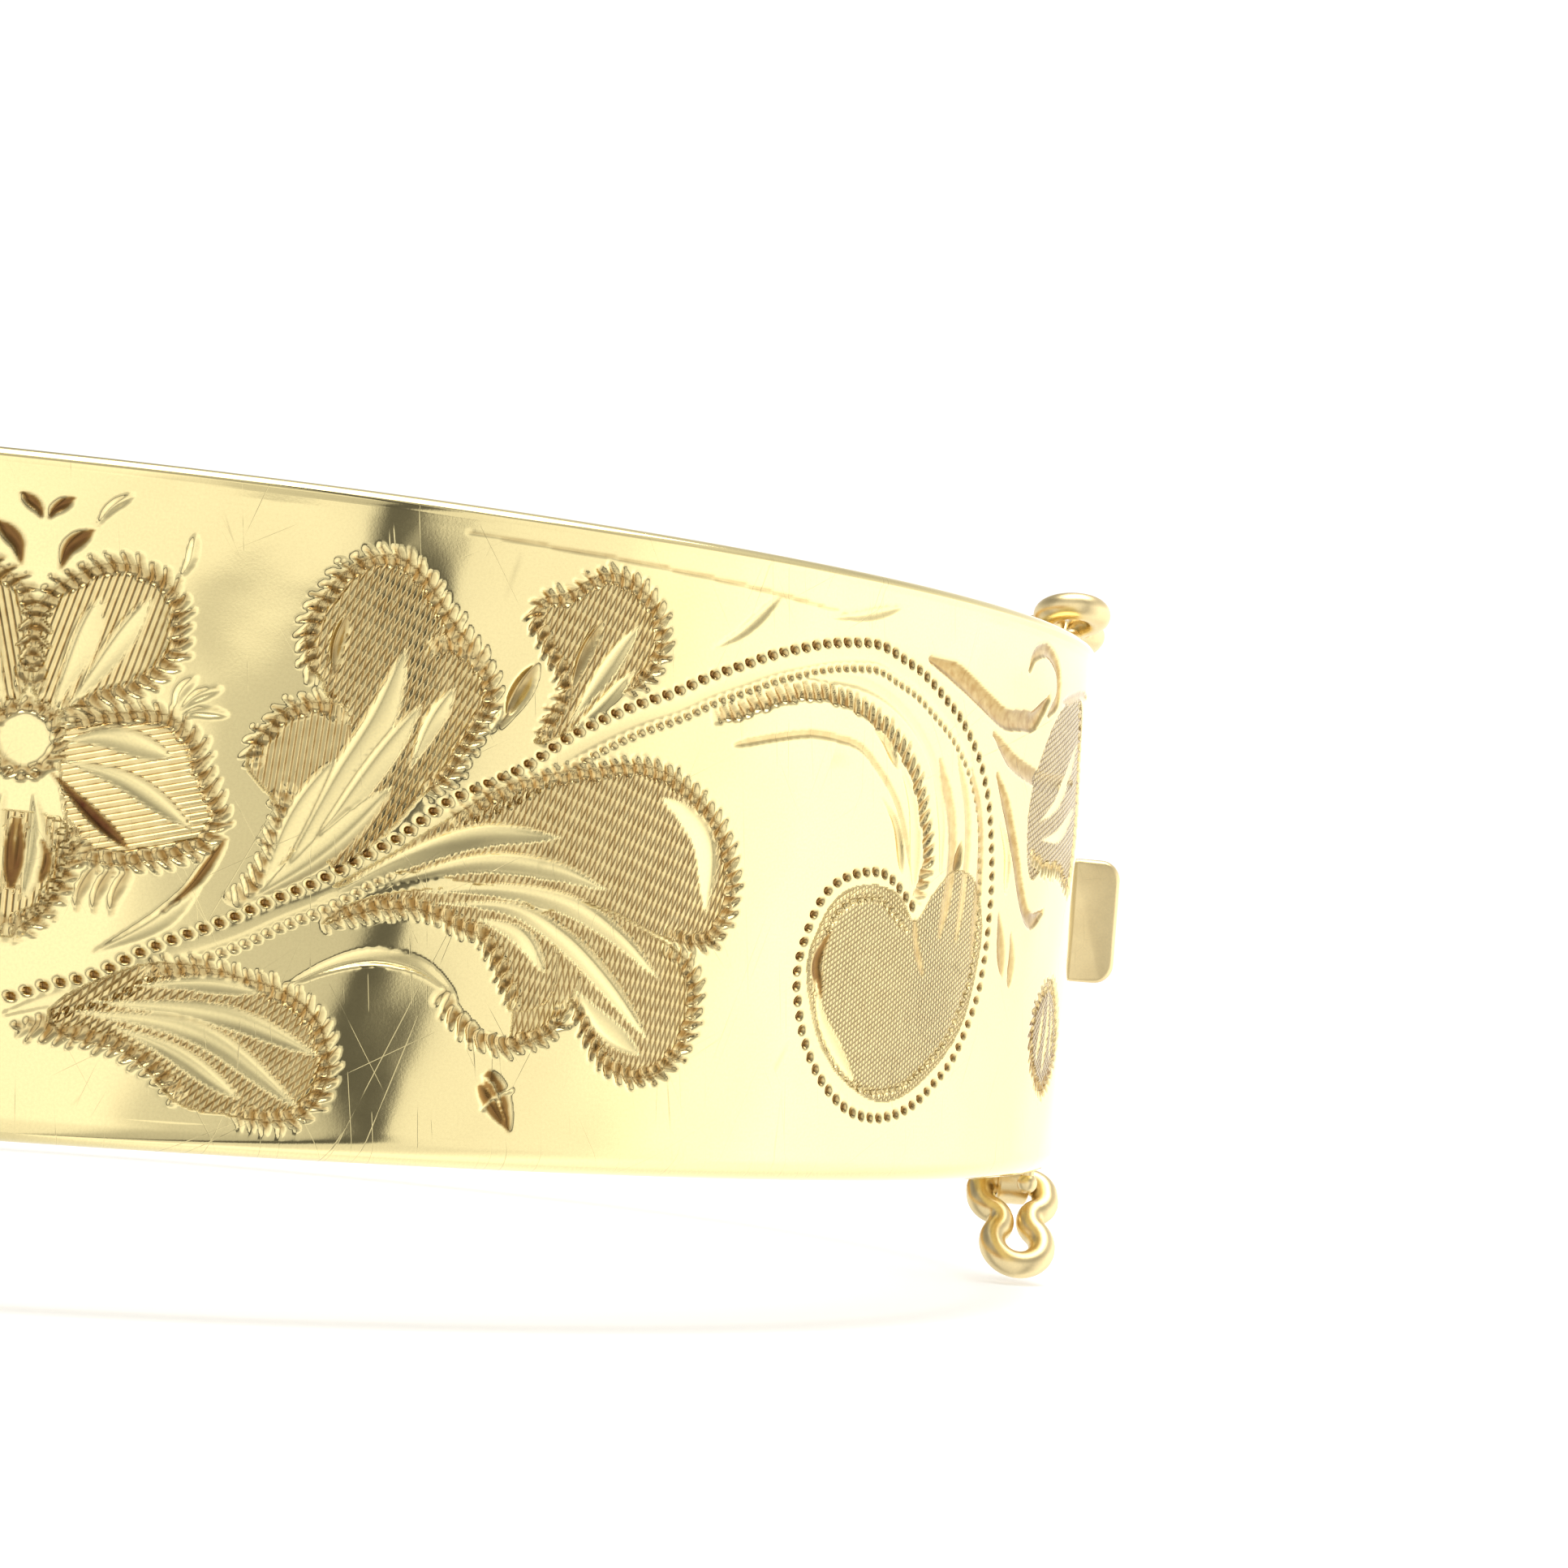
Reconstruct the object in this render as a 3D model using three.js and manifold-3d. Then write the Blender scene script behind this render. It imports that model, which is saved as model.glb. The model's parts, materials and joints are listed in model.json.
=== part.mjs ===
// Hinged bangle bracelet in yellow gold. Two hollow oval half-bands turn on a five-knuckle
// hinge and close with a folded spring tongue that snaps into a box. A figure-of-eight
// wire catch crosses the closing seam on each edge and drops over a ball peg.
// Millimetres. +Z is the axis of the wrist, +X points at the clasp, -X at the hinge
// and -Y at the engraved front half. The origin is the centre of the oval.

import * as THREE from "three";
import * as BufferGeometryUtils from "three/addons/utils/BufferGeometryUtils.js";
import Module from "manifold-3d";

const wasm = await Module();
wasm.setup();

// Band
const OVAL_X = 32; // outer half-length of the oval, towards the clasp
const OVAL_Y = 27; // outer half-length of the oval, towards the front
const BAND_WIDTH = 16; // height of the band along the wrist
const SKIN = 0.4; // sheet of the outer shells
const LINER = 0.35; // sheet of the inner liners
const EDGE_RADIUS = 0.7; // rounding where the outer face turns into each edge
const EDGE_SEGMENTS = 4;
const FACET = 1.6; // longest facet along the band
const SOLDER = 0.05; // gap that stands for a soldered joint

// Closing seam
const SEAM_SHIFT = 2.1; // the seam lies this far in front of the tip of the oval
const SEAM_GAP = 0.2; // slit between the closed halves

// Hinge
const PIN_RADIUS = 0.42;
const PIN_INSET = 0.35; // pin axis inside the outer face
const PIN_CLEARANCE = 0.06; // radial, between pin and knuckle
const KNUCKLE_WALL = 0.52;
const KNUCKLES = 5;
const KNUCKLE_GAP = 0.08; // along the pin, between neighbours
const HINGE_RELIEF = 0.08; // radial, between knuckles and half-bands
const HINGE_GAP = 0.3; // slit between the half-bands at the hinge
const HINGE_BAR = 4.6; // length of the end bars that carry the knuckles
const RIVET_LIP = 0.3; // edge of each rivet beyond the pin
const RIVET_CROWN = 0.08; // flat top of each rivet beyond the pin
const RIVET_HEIGHT = 0.34;
const RIVET_INSET = 0.11; // rivet top inside the band edge

// Box clasp
const BOX_SHEET = 0.17; // roof and floor of the box
const BOX_WALL = 0.4; // sides and closed end of the box
const BOX_SIDE_CLEARANCE = 1; // each side of the tongue
const BOX_END_CLEARANCE = 0.1; // beyond the fold of the tongue
const TONGUE_REACH = 4.2; // tongue beyond the seam
const TONGUE_ROOT = 3; // tongue inside its bar
const TONGUE_STOP = 1.5; // solid end of the bar beyond the root
const TONGUE_HALF_WIDTH = 3.6;
const BASE_LEAF = 0.3;
const SPRING_LEAF = 0.25;
const TONGUE_CLEARANCE = 0.16; // base leaf above the floor of the box
const LEAF_HEADROOM = 0.12; // tail of the spring leaf below the roof of the box
const LEAF_TAIL = 0.5; // tail of the spring leaf behind the seam
const FOLD_GAP = 0.06; // between the two leaves at the fold
const FOLD_HEADROOM = 0.21; // fold below the roof of the box

// Thumbpiece
const THUMB_HEIGHT = 3.9; // along the band width
const THUMB_OFFSET = -0.25; // its middle against the middle of the band
const THUMB_THICKNESS = 0.8;
const THUMB_REACH = 1.6; // beyond the outer face
const THUMB_CORNER = 0.55;
const NOTCH_CLEARANCE = 0.3;

// Safety catches
const WIRE_RADIUS = 0.43;
const BALL_RADIUS = 0.32;
const CATCH_LENGTH = 2.6; // pivot to the centre of that loop
const PIVOT_CLEARANCE = 0.05; // straight wire beyond each end of the tube
const BEND_ROOM = 0.09; // inner radius of the tightest bends
const CATCH_INSET = 0.6; // middle of the catch inside the outer face
const TUBE_SETBACK = 1.3; // tube behind the seam
const TUBE_LENGTH = 1;
const TUBE_WALL = 0.26;
const WIRE_CLEARANCE = 0.06; // radial, between wire and tube
const BALL_CLEARANCE = 0.05; // radial, between ball and loop
const NECK_RADIUS = 0.2;
const CLOSED_CLEARANCE = 0.04; // closed wire above the band edge
const UPPER_LIFT = 12.5; // degrees above level, at rest
const LOWER_DROP = 45; // degrees below level, at rest

// Facets round small parts
const WIRE_SIDES = 10;
const WIRE_STEPS = 60;
const ROUND_SIDES = 24;
const BALL_STEPS = 6;
const FOLD_STEPS = 6;

// Sizes that follow from those above
const HALF_WIDTH = BAND_WIDTH / 2;
const CHANNEL_TOP = SKIN + SOLDER; // depth where an insert starts below the outer face
const CHANNEL_HALF_WIDTH = HALF_WIDTH - SKIN - SOLDER;
const TIP_CURVE = OVAL_Y ** 2 / OVAL_X; // tightest radius of the outer face, at the tip
const BOX_REACH = TONGUE_REACH + SPRING_LEAF / 2 + BOX_END_CLEARANCE;
const BOX_SAG = BOX_REACH ** 2 / (2 * TIP_CURVE); // fall of the roof towards the closed end
const LEAVES = SPRING_LEAF + FOLD_GAP + BASE_LEAF;
const BOX_ROOF = CHANNEL_TOP + BOX_SHEET;
const BOX_FLOOR = BOX_ROOF + BOX_SAG + FOLD_HEADROOM + LEAVES + TONGUE_CLEARANCE;
const CHANNEL_FLOOR = BOX_FLOOR + BOX_SHEET;
const WALL = CHANNEL_FLOOR + SOLDER + LINER; // outer face to inner face, about 2.6
const BOX_LENGTH = (BOX_REACH * TIP_CURVE) / (TIP_CURVE - BOX_FLOOR) + BOX_WALL;
const CLASP_HALF_WIDTH = TONGUE_HALF_WIDTH + BOX_SIDE_CLEARANCE + BOX_WALL;
const TONGUE_BAR = TONGUE_ROOT + TONGUE_STOP;
const TUBE_BORE = WIRE_RADIUS + WIRE_CLEARANCE;
const TUBE_RADIUS = TUBE_BORE + TUBE_WALL;
const PIVOT_HEIGHT = HALF_WIDTH + SOLDER + TUBE_RADIUS;
const BEND_RADIUS = WIRE_RADIUS + BEND_ROOM;
const PIVOT_HALF_WIDTH = TUBE_LENGTH / 2 + PIVOT_CLEARANCE + BEND_RADIUS;
const LOOP_RADIUS = BALL_RADIUS + BALL_CLEARANCE + WIRE_RADIUS; // centre line round the peg
const BALL_HEIGHT = SOLDER + WIRE_RADIUS + BALL_RADIUS / 2; // ball centre above the band edge
const CLOSED_FALL = TUBE_RADIUS + SOLDER - WIRE_RADIUS - CLOSED_CLEARANCE;
const PEG_SETBACK = Math.sqrt(CATCH_LENGTH ** 2 - CLOSED_FALL ** 2) - TUBE_SETBACK;
const BORE_RADIUS = PIN_RADIUS + PIN_CLEARANCE;
const KNUCKLE_RADIUS = BORE_RADIUS + KNUCKLE_WALL;
const RELIEF_RADIUS = KNUCKLE_RADIUS + HINGE_RELIEF;
const STACK_HALF = HALF_WIDTH - RIVET_INSET - RIVET_HEIGHT - SOLDER;

const polishedGold = new THREE.MeshStandardMaterial({ color: 0xefdda0, roughness: 0.12, metalness: 1 });
const engravedGold = new THREE.MeshStandardMaterial({ color: 0xe8d18c, roughness: 0.3, metalness: 1 });
const innerGold = new THREE.MeshStandardMaterial({ color: 0xe2c583, roughness: 0.32, metalness: 1 });
const claspGold = new THREE.MeshStandardMaterial({ color: 0xd9b25e, roughness: 0.28, metalness: 1 });

const oval = new THREE.EllipseCurve(0, 0, OVAL_X, OVAL_Y, -Math.PI / 2, 1.5 * Math.PI);
oval.arcLengthDivisions = 4000;
const PERIMETER = oval.getLength();

// Outer face at arc length s, counted from the middle of the front towards the clasp.
function station(s) {
  const point = oval.getPointAt(THREE.MathUtils.euclideanModulo(s / PERIMETER, 1));
  const outward = new THREE.Vector2(point.x / OVAL_X ** 2, point.y / OVAL_Y ** 2).normalize();
  return { point, outward };
}

const TIP_S = PERIMETER / 4;
const SEAM_S = TIP_S - SEAM_SHIFT;
const HINGE_FRONT_S = -TIP_S;
const HINGE_BACK_S = 3 * TIP_S;

// Rings of points joined into one closed skin. A looped skin meets itself, any other is capped.
function joinRings(rings, capFaces) {
  const count = rings[0].length;
  const looped = capFaces === null;
  const spans = looped ? rings.length : rings.length - 1;
  const index = [];
  for (let i = 0; i < spans; i += 1) {
    const near = i * count;
    const far = ((i + 1) % rings.length) * count;
    for (let j = 0; j < count; j += 1) {
      const next = (j + 1) % count;
      index.push(near + j, near + next, far + next);
      index.push(near + j, far + next, far + j);
    }
  }
  if (!looped) {
    const last = (rings.length - 1) * count;
    for (const [a, b, c] of capFaces) {
      index.push(a, c, b);
      index.push(last + a, last + b, last + c);
    }
  }
  const geometry = new THREE.BufferGeometry();
  geometry.setAttribute("position", new THREE.Float32BufferAttribute(rings.flat().flat(), 3));
  geometry.setIndex(index);
  geometry.computeVertexNormals();
  return geometry;
}

// An outline of (depth, z) points, clockwise with depth to the right, swept along the band.
function sweepBand(clockwise, from, to) {
  const outline = clockwise.toReversed();
  const steps = Math.ceil((to - from) / FACET);
  const rings = [];
  for (let i = 0; i <= steps; i += 1) {
    const { point, outward } = station(from + ((to - from) * i) / steps);
    rings.push(
      outline.map(([depth, z]) => [point.x - outward.x * depth, point.y - outward.y * depth, z]),
    );
  }
  const flat = outline.map(([depth, z]) => new THREE.Vector2(depth, z));
  return joinRings(rings, THREE.ShapeUtils.triangulateShape(flat, []));
}

function rectangle(top, floor, halfWidth) {
  return [
    [top, -halfWidth],
    [top, halfWidth],
    [floor, halfWidth],
    [floor, -halfWidth],
  ];
}

// Channel section: outer face, rounded edges and the two flanges turned in to the liner.
function shellOutline() {
  const outline = [];
  for (const side of [-1, 1]) {
    for (let i = 0; i <= EDGE_SEGMENTS; i += 1) {
      const turn = (side < 0 ? i : EDGE_SEGMENTS - i) * (Math.PI / 2 / EDGE_SEGMENTS);
      outline.push([
        EDGE_RADIUS * (1 - Math.sin(turn)),
        side * (HALF_WIDTH - EDGE_RADIUS * (1 - Math.cos(turn))),
      ]);
    }
  }
  const inner = HALF_WIDTH - SKIN;
  return [
    [WALL, -HALF_WIDTH],
    ...outline,
    [WALL, HALF_WIDTH],
    [WALL, inner],
    [SKIN, inner],
    [SKIN, -inner],
    [WALL, -inner],
  ];
}

function toManifold(geometry) {
  const bare = geometry.clone();
  bare.deleteAttribute("normal");
  bare.deleteAttribute("uv");
  const merged = BufferGeometryUtils.mergeVertices(bare, 1e-5);
  const mesh = new wasm.Mesh({
    numProp: 3,
    vertProperties: new Float32Array(merged.attributes.position.array),
    triVerts: new Uint32Array(merged.index.array),
  });
  return new wasm.Manifold(mesh);
}

function toGeometry(solid) {
  const mesh = solid.getMesh();
  const geometry = new THREE.BufferGeometry();
  geometry.setAttribute("position", new THREE.Float32BufferAttribute(mesh.vertProperties, 3));
  geometry.setIndex([...mesh.triVerts]);
  geometry.computeVertexNormals();
  return geometry;
}

function cut(geometry, ...tools) {
  let solid = toManifold(geometry);
  for (const tool of tools) {
    solid = solid.subtract(toManifold(tool));
  }
  return toGeometry(solid);
}

function piece(name, geometry, material) {
  const mesh = new THREE.Mesh(geometry, material);
  mesh.name = name;
  return mesh;
}

// A box given by its low and high corners.
function block(low, high) {
  const geometry = new THREE.BoxGeometry(high[0] - low[0], high[1] - low[1], high[2] - low[2]);
  return geometry.translate((low[0] + high[0]) / 2, (low[1] + high[1]) / 2, (low[2] + high[2]) / 2);
}

// A tube along Z, centred on the origin.
function tube(bore, radius, length) {
  const half = length / 2;
  const section = [
    [bore, -half],
    [radius, -half],
    [radius, half],
    [bore, half],
    [bore, -half],
  ];
  return turned(section);
}

// A section of (radius, height) points turned about Z.
function turned(section) {
  const points = section.map(([radius, height]) => new THREE.Vector2(radius, height));
  return new THREE.LatheGeometry(points, ROUND_SIDES).rotateX(Math.PI / 2);
}

// The frame of the clasp: x runs outward, y along the band towards the back, z along the wrist.
const clasp = new THREE.Group();
const seam = station(SEAM_S);
clasp.position.set(seam.point.x, seam.point.y, 0);
clasp.rotation.z = Math.atan2(seam.outward.y, seam.outward.x);
clasp.updateMatrix();

function atClasp(geometry) {
  return geometry.applyMatrix4(clasp.matrix);
}

// Height of the outer face in the frame of the clasp, at a distance along the band.
function faceHeight(along) {
  const { point } = station(SEAM_S + along);
  return (point.x - seam.point.x) * seam.outward.x + (point.y - seam.point.y) * seam.outward.y;
}

const hinge = new THREE.Group();
hinge.position.set(PIN_INSET - OVAL_X, 0, 0);
hinge.updateMatrix();

function hingeRelief() {
  return turned([
    [0, -BAND_WIDTH],
    [RELIEF_RADIUS, -BAND_WIDTH],
    [RELIEF_RADIUS, BAND_WIDTH],
    [0, BAND_WIDTH],
  ]).applyMatrix4(hinge.matrix);
}

// Heights in the frame of the clasp, outer face of the seam at zero
const BASE_BOTTOM = -BOX_FLOOR + TONGUE_CLEARANCE;
const BASE_TOP = BASE_BOTTOM + BASE_LEAF;
const TAIL_TOP = -BOX_ROOF - LEAF_HEADROOM + faceHeight(-LEAF_TAIL);
const FOLD_HEIGHT = BASE_TOP + FOLD_GAP + SPRING_LEAF / 2;
const THUMB_BACK = -LEAF_TAIL - SPRING_LEAF;
const THUMB_FRONT = THUMB_BACK - THUMB_THICKNESS;

const frontFrom = HINGE_FRONT_S + HINGE_GAP / 2;
const frontTo = SEAM_S - SEAM_GAP / 2;
const backFrom = SEAM_S + SEAM_GAP / 2;
const backTo = HINGE_BACK_S - HINGE_GAP / 2;
const linerOutline = rectangle(WALL - LINER, WALL, CHANNEL_HALF_WIDTH);
const barOutline = rectangle(CHANNEL_TOP, CHANNEL_FLOOR, CHANNEL_HALF_WIDTH);
const claspOutline = rectangle(CHANNEL_TOP, CHANNEL_FLOOR, CLASP_HALF_WIDTH);

// Slot in the roof of the box and in the shell, open at the seam, for the thumbpiece to pass.
function thumbNotch() {
  const halfHeight = THUMB_HEIGHT / 2 + NOTCH_CLEARANCE;
  const low = [-BOX_ROOF - BOX_SHEET, THUMB_FRONT - NOTCH_CLEARANCE, THUMB_OFFSET - halfHeight];
  const high = [THUMB_REACH, SEAM_GAP, THUMB_OFFSET + halfHeight];
  return atClasp(block(low, high));
}

// A length of band that ends at the hinge, hollowed there to clear the knuckles.
function hingedBand(outline, from, to) {
  return cut(sweepBand(outline, from, to), hingeRelief());
}

function claspBox() {
  const walls = sweepBand(claspOutline, SEAM_S - BOX_LENGTH, frontTo);
  const mouth = sweepBand(
    rectangle(BOX_ROOF, BOX_FLOOR, CLASP_HALF_WIDTH - BOX_WALL),
    SEAM_S - BOX_LENGTH + BOX_WALL,
    SEAM_S + BOX_WALL,
  );
  return cut(walls, mouth, thumbNotch());
}

function tongueBar() {
  const slot = block(
    [BASE_BOTTOM - SOLDER, -SEAM_GAP, -TONGUE_HALF_WIDTH - SOLDER],
    [BASE_TOP + SOLDER, TONGUE_ROOT + SOLDER, TONGUE_HALF_WIDTH + SOLDER],
  );
  return cut(sweepBand(claspOutline, backFrom, SEAM_S + TONGUE_BAR), atClasp(slot));
}

// A strip whose section lies in the plane of the bend and whose width runs along Z.
function strip(points, halfWidth) {
  const shape = new THREE.Shape(points.map(([x, y]) => new THREE.Vector2(x, y)));
  const geometry = new THREE.ExtrudeGeometry(shape, { depth: 2 * halfWidth, bevelEnabled: false });
  return geometry.translate(0, 0, -halfWidth);
}

function baseLeaf() {
  return strip(
    [
      [BASE_BOTTOM, -TONGUE_REACH],
      [BASE_TOP, -TONGUE_REACH],
      [BASE_TOP, TONGUE_ROOT],
      [BASE_BOTTOM, TONGUE_ROOT],
    ],
    TONGUE_HALF_WIDTH,
  );
}

// The spring leaf rises from the fold, where its end is rounded, to its tail behind the seam.
function springLeaf() {
  const half = SPRING_LEAF / 2;
  const rise = Math.atan2(TAIL_TOP - half - FOLD_HEIGHT, TONGUE_REACH - LEAF_TAIL);
  const points = [];
  for (let i = 0; i <= FOLD_STEPS; i += 1) {
    const angle = -rise - (Math.PI * i) / FOLD_STEPS;
    points.push([FOLD_HEIGHT + half * Math.cos(angle), -TONGUE_REACH + half * Math.sin(angle)]);
  }
  const across = [half * Math.cos(rise), half * Math.sin(rise)];
  const tail = [TAIL_TOP - half, -LEAF_TAIL];
  points.push([tail[0] - across[0], tail[1] + across[1]]);
  points.push([tail[0] + across[0], tail[1] - across[1]]);
  return strip(points, TONGUE_HALF_WIDTH);
}

// The thumbpiece stands on the tail of the spring leaf and its outer corners are rounded.
function thumbpiece() {
  const foot = TAIL_TOP + SOLDER;
  const low = THUMB_OFFSET - THUMB_HEIGHT / 2;
  const high = THUMB_OFFSET + THUMB_HEIGHT / 2;
  const shape = new THREE.Shape();
  shape.moveTo(foot, low);
  shape.lineTo(THUMB_REACH - THUMB_CORNER, low);
  shape.absarc(THUMB_REACH - THUMB_CORNER, low + THUMB_CORNER, THUMB_CORNER, -Math.PI / 2, 0);
  shape.absarc(THUMB_REACH - THUMB_CORNER, high - THUMB_CORNER, THUMB_CORNER, 0, Math.PI / 2);
  shape.lineTo(foot, high);
  const options = { depth: THUMB_THICKNESS, bevelEnabled: false, curveSegments: 5 };
  const geometry = new THREE.ExtrudeGeometry(shape, options);
  return geometry.rotateX(Math.PI / 2).translate(0, THUMB_BACK, 0);
}

// Centre of the waist bend, an arc that touches the wire's turn round the rim and the far loop.
function waistCentre(rim, loop, turn) {
  const across = loop.clone().sub(rim);
  const distance = across.length();
  const near = turn + BEND_RADIUS;
  const far = LOOP_RADIUS + BEND_RADIUS;
  const along = (near ** 2 - far ** 2 + distance ** 2) / (2 * distance);
  const aside = Math.sqrt(near ** 2 - along ** 2);
  const way = across.normalize();
  return new THREE.Vector2(way.y, -way.x).multiplyScalar(aside).addScaledVector(way, along).add(rim);
}

// Centre line of the figure of eight: x across, y from the pivot towards the peg.
function catchLine() {
  const bend = PIVOT_HALF_WIDTH - BEND_RADIUS;
  const turn = PIVOT_CLEARANCE + BEND_RADIUS;
  const rim = new THREE.Vector2(TUBE_LENGTH / 2, TUBE_RADIUS);
  const loop = new THREE.Vector2(0, CATCH_LENGTH);
  const waist = waistCentre(rim, loop, turn);
  const toWaist = waist.clone().sub(rim).angle();
  const toLoop = loop.clone().sub(waist).angle();
  const line = new THREE.Path();
  line.moveTo(0, 0);
  line.lineTo(bend, 0);
  line.absarc(bend, BEND_RADIUS, BEND_RADIUS, -Math.PI / 2, 0);
  line.absarc(rim.x, rim.y, turn, 0, toWaist);
  line.absarc(waist.x, waist.y, BEND_RADIUS, toWaist + Math.PI, toLoop, true);
  line.absarc(loop.x, loop.y, LOOP_RADIUS, toLoop - Math.PI, 2 * Math.PI - toLoop);
  line.absarc(-waist.x, waist.y, BEND_RADIUS, Math.PI - toLoop, -toWaist, true);
  line.absarc(-rim.x, rim.y, turn, Math.PI - toWaist, Math.PI);
  line.absarc(-bend, BEND_RADIUS, BEND_RADIUS, Math.PI, 1.5 * Math.PI);
  line.lineTo(0, 0);
  return line;
}

// Round wire bent along the centre line, lying in its own plane with the peg end towards -y.
function catchLoop() {
  const line = catchLine();
  const rings = [];
  for (let i = 0; i < WIRE_STEPS; i += 1) {
    const at = line.getPoint(i / WIRE_STEPS);
    const along = line.getTangent(i / WIRE_STEPS);
    const ring = [];
    for (let j = 0; j < WIRE_SIDES; j += 1) {
      const angle = (2 * Math.PI * j) / WIRE_SIDES;
      const across = WIRE_RADIUS * Math.cos(angle);
      ring.push([at.x - along.y * across, at.y + along.x * across, WIRE_RADIUS * Math.sin(angle)]);
    }
    rings.push(ring);
  }
  return joinRings(rings, null).rotateZ(Math.PI);
}

function ballPeg() {
  const section = [
    [0, 0],
    [NECK_RADIUS, 0],
  ];
  const start = Math.asin(NECK_RADIUS / BALL_RADIUS);
  for (let i = 0; i < BALL_STEPS; i += 1) {
    const angle = start + ((Math.PI - start) * i) / BALL_STEPS;
    section.push([BALL_RADIUS * Math.sin(angle), BALL_HEIGHT - BALL_RADIUS * Math.cos(angle)]);
  }
  section.push([0, BALL_HEIGHT + BALL_RADIUS]);
  return turned(section);
}

// One catch with its tube and peg; side is 1 on the upper edge and -1 on the lower edge.
function addCatch(name, side, angle) {
  const flip = side > 0 ? 0 : Math.PI;
  const peg = piece(`${name}_catch_peg`, ballPeg(), claspGold);
  peg.position.set(-CATCH_INSET, -PEG_SETBACK, side * (HALF_WIDTH + SOLDER));
  peg.rotation.x = flip;
  const pivot = new THREE.Group();
  pivot.position.set(-CATCH_INSET, TUBE_SETBACK, side * PIVOT_HEIGHT);
  const sleeve = tube(TUBE_BORE, TUBE_RADIUS, TUBE_LENGTH).rotateY(Math.PI / 2);
  pivot.add(piece(`${name}_catch_tube`, sleeve, claspGold));
  const loop = piece(`${name}_catch_loop`, catchLoop(), claspGold);
  loop.rotation.x = -side * THREE.MathUtils.degToRad(angle);
  pivot.add(loop);
  clasp.add(peg, pivot);
}

// Knuckles alternate between the front half, which has the first and last, and the back half.
function addKnuckles() {
  const pitch = (2 * STACK_HALF + KNUCKLE_GAP) / KNUCKLES;
  for (let i = 0; i < KNUCKLES; i += 1) {
    const owner = i % 2 === 0 ? "front" : "back";
    const sleeve = tube(BORE_RADIUS, KNUCKLE_RADIUS, pitch - KNUCKLE_GAP);
    const knuckle = piece(`${owner}_knuckle_${i + 1}`, sleeve, polishedGold);
    knuckle.position.z = -STACK_HALF - KNUCKLE_GAP / 2 + pitch * (i + 0.5);
    hinge.add(knuckle);
  }
}

function hingePin() {
  const shoulder = STACK_HALF + SOLDER;
  const lip = PIN_RADIUS + RIVET_LIP;
  const crown = PIN_RADIUS + RIVET_CROWN;
  return turned([
    [0, -shoulder - RIVET_HEIGHT],
    [crown, -shoulder - RIVET_HEIGHT],
    [lip, -shoulder - RIVET_HEIGHT / 2],
    [lip, -shoulder],
    [PIN_RADIUS, -shoulder],
    [PIN_RADIUS, shoulder],
    [lip, shoulder],
    [lip, shoulder + RIVET_HEIGHT / 2],
    [crown, shoulder + RIVET_HEIGHT],
    [0, shoulder + RIVET_HEIGHT],
  ]);
}

const bangle = new THREE.Group();
const frontShell = cut(hingedBand(shellOutline(), frontFrom, frontTo), thumbNotch());
const frontBar = hingedBand(barOutline, frontFrom, frontFrom + HINGE_BAR);
const backBar = hingedBand(barOutline, backTo - HINGE_BAR, backTo);
bangle.add(piece("front_outer_shell", frontShell, engravedGold));
bangle.add(piece("front_inner_liner", hingedBand(linerOutline, frontFrom, frontTo), innerGold));
bangle.add(piece("front_hinge_bar", frontBar, innerGold));
bangle.add(piece("clasp_box", claspBox(), innerGold));
bangle.add(piece("back_outer_shell", hingedBand(shellOutline(), backFrom, backTo), polishedGold));
bangle.add(piece("back_inner_liner", hingedBand(linerOutline, backFrom, backTo), innerGold));
bangle.add(piece("back_hinge_bar", backBar, innerGold));
bangle.add(piece("tongue_bar", tongueBar(), innerGold));

clasp.add(piece("tongue_base_leaf", baseLeaf(), claspGold));
clasp.add(piece("tongue_spring_leaf", springLeaf(), claspGold));
clasp.add(piece("thumbpiece", thumbpiece(), claspGold));
addCatch("upper", 1, UPPER_LIFT);
addCatch("lower", -1, LOWER_DROP);

hinge.add(piece("hinge_pin", hingePin(), polishedGold));
addKnuckles();

bangle.add(clasp, hinge);

export default bangle;
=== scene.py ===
"""Hinged gold bangle: engraved front half, plain back half, tongue clasp and two wire catches.

Lengths inside the build functions are in millimetres. The band is described by three
numbers: s, the arc length along the outer face from the middle of the front towards the
clasp; the depth below the outer face; and z across the width of the band.
"""

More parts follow.
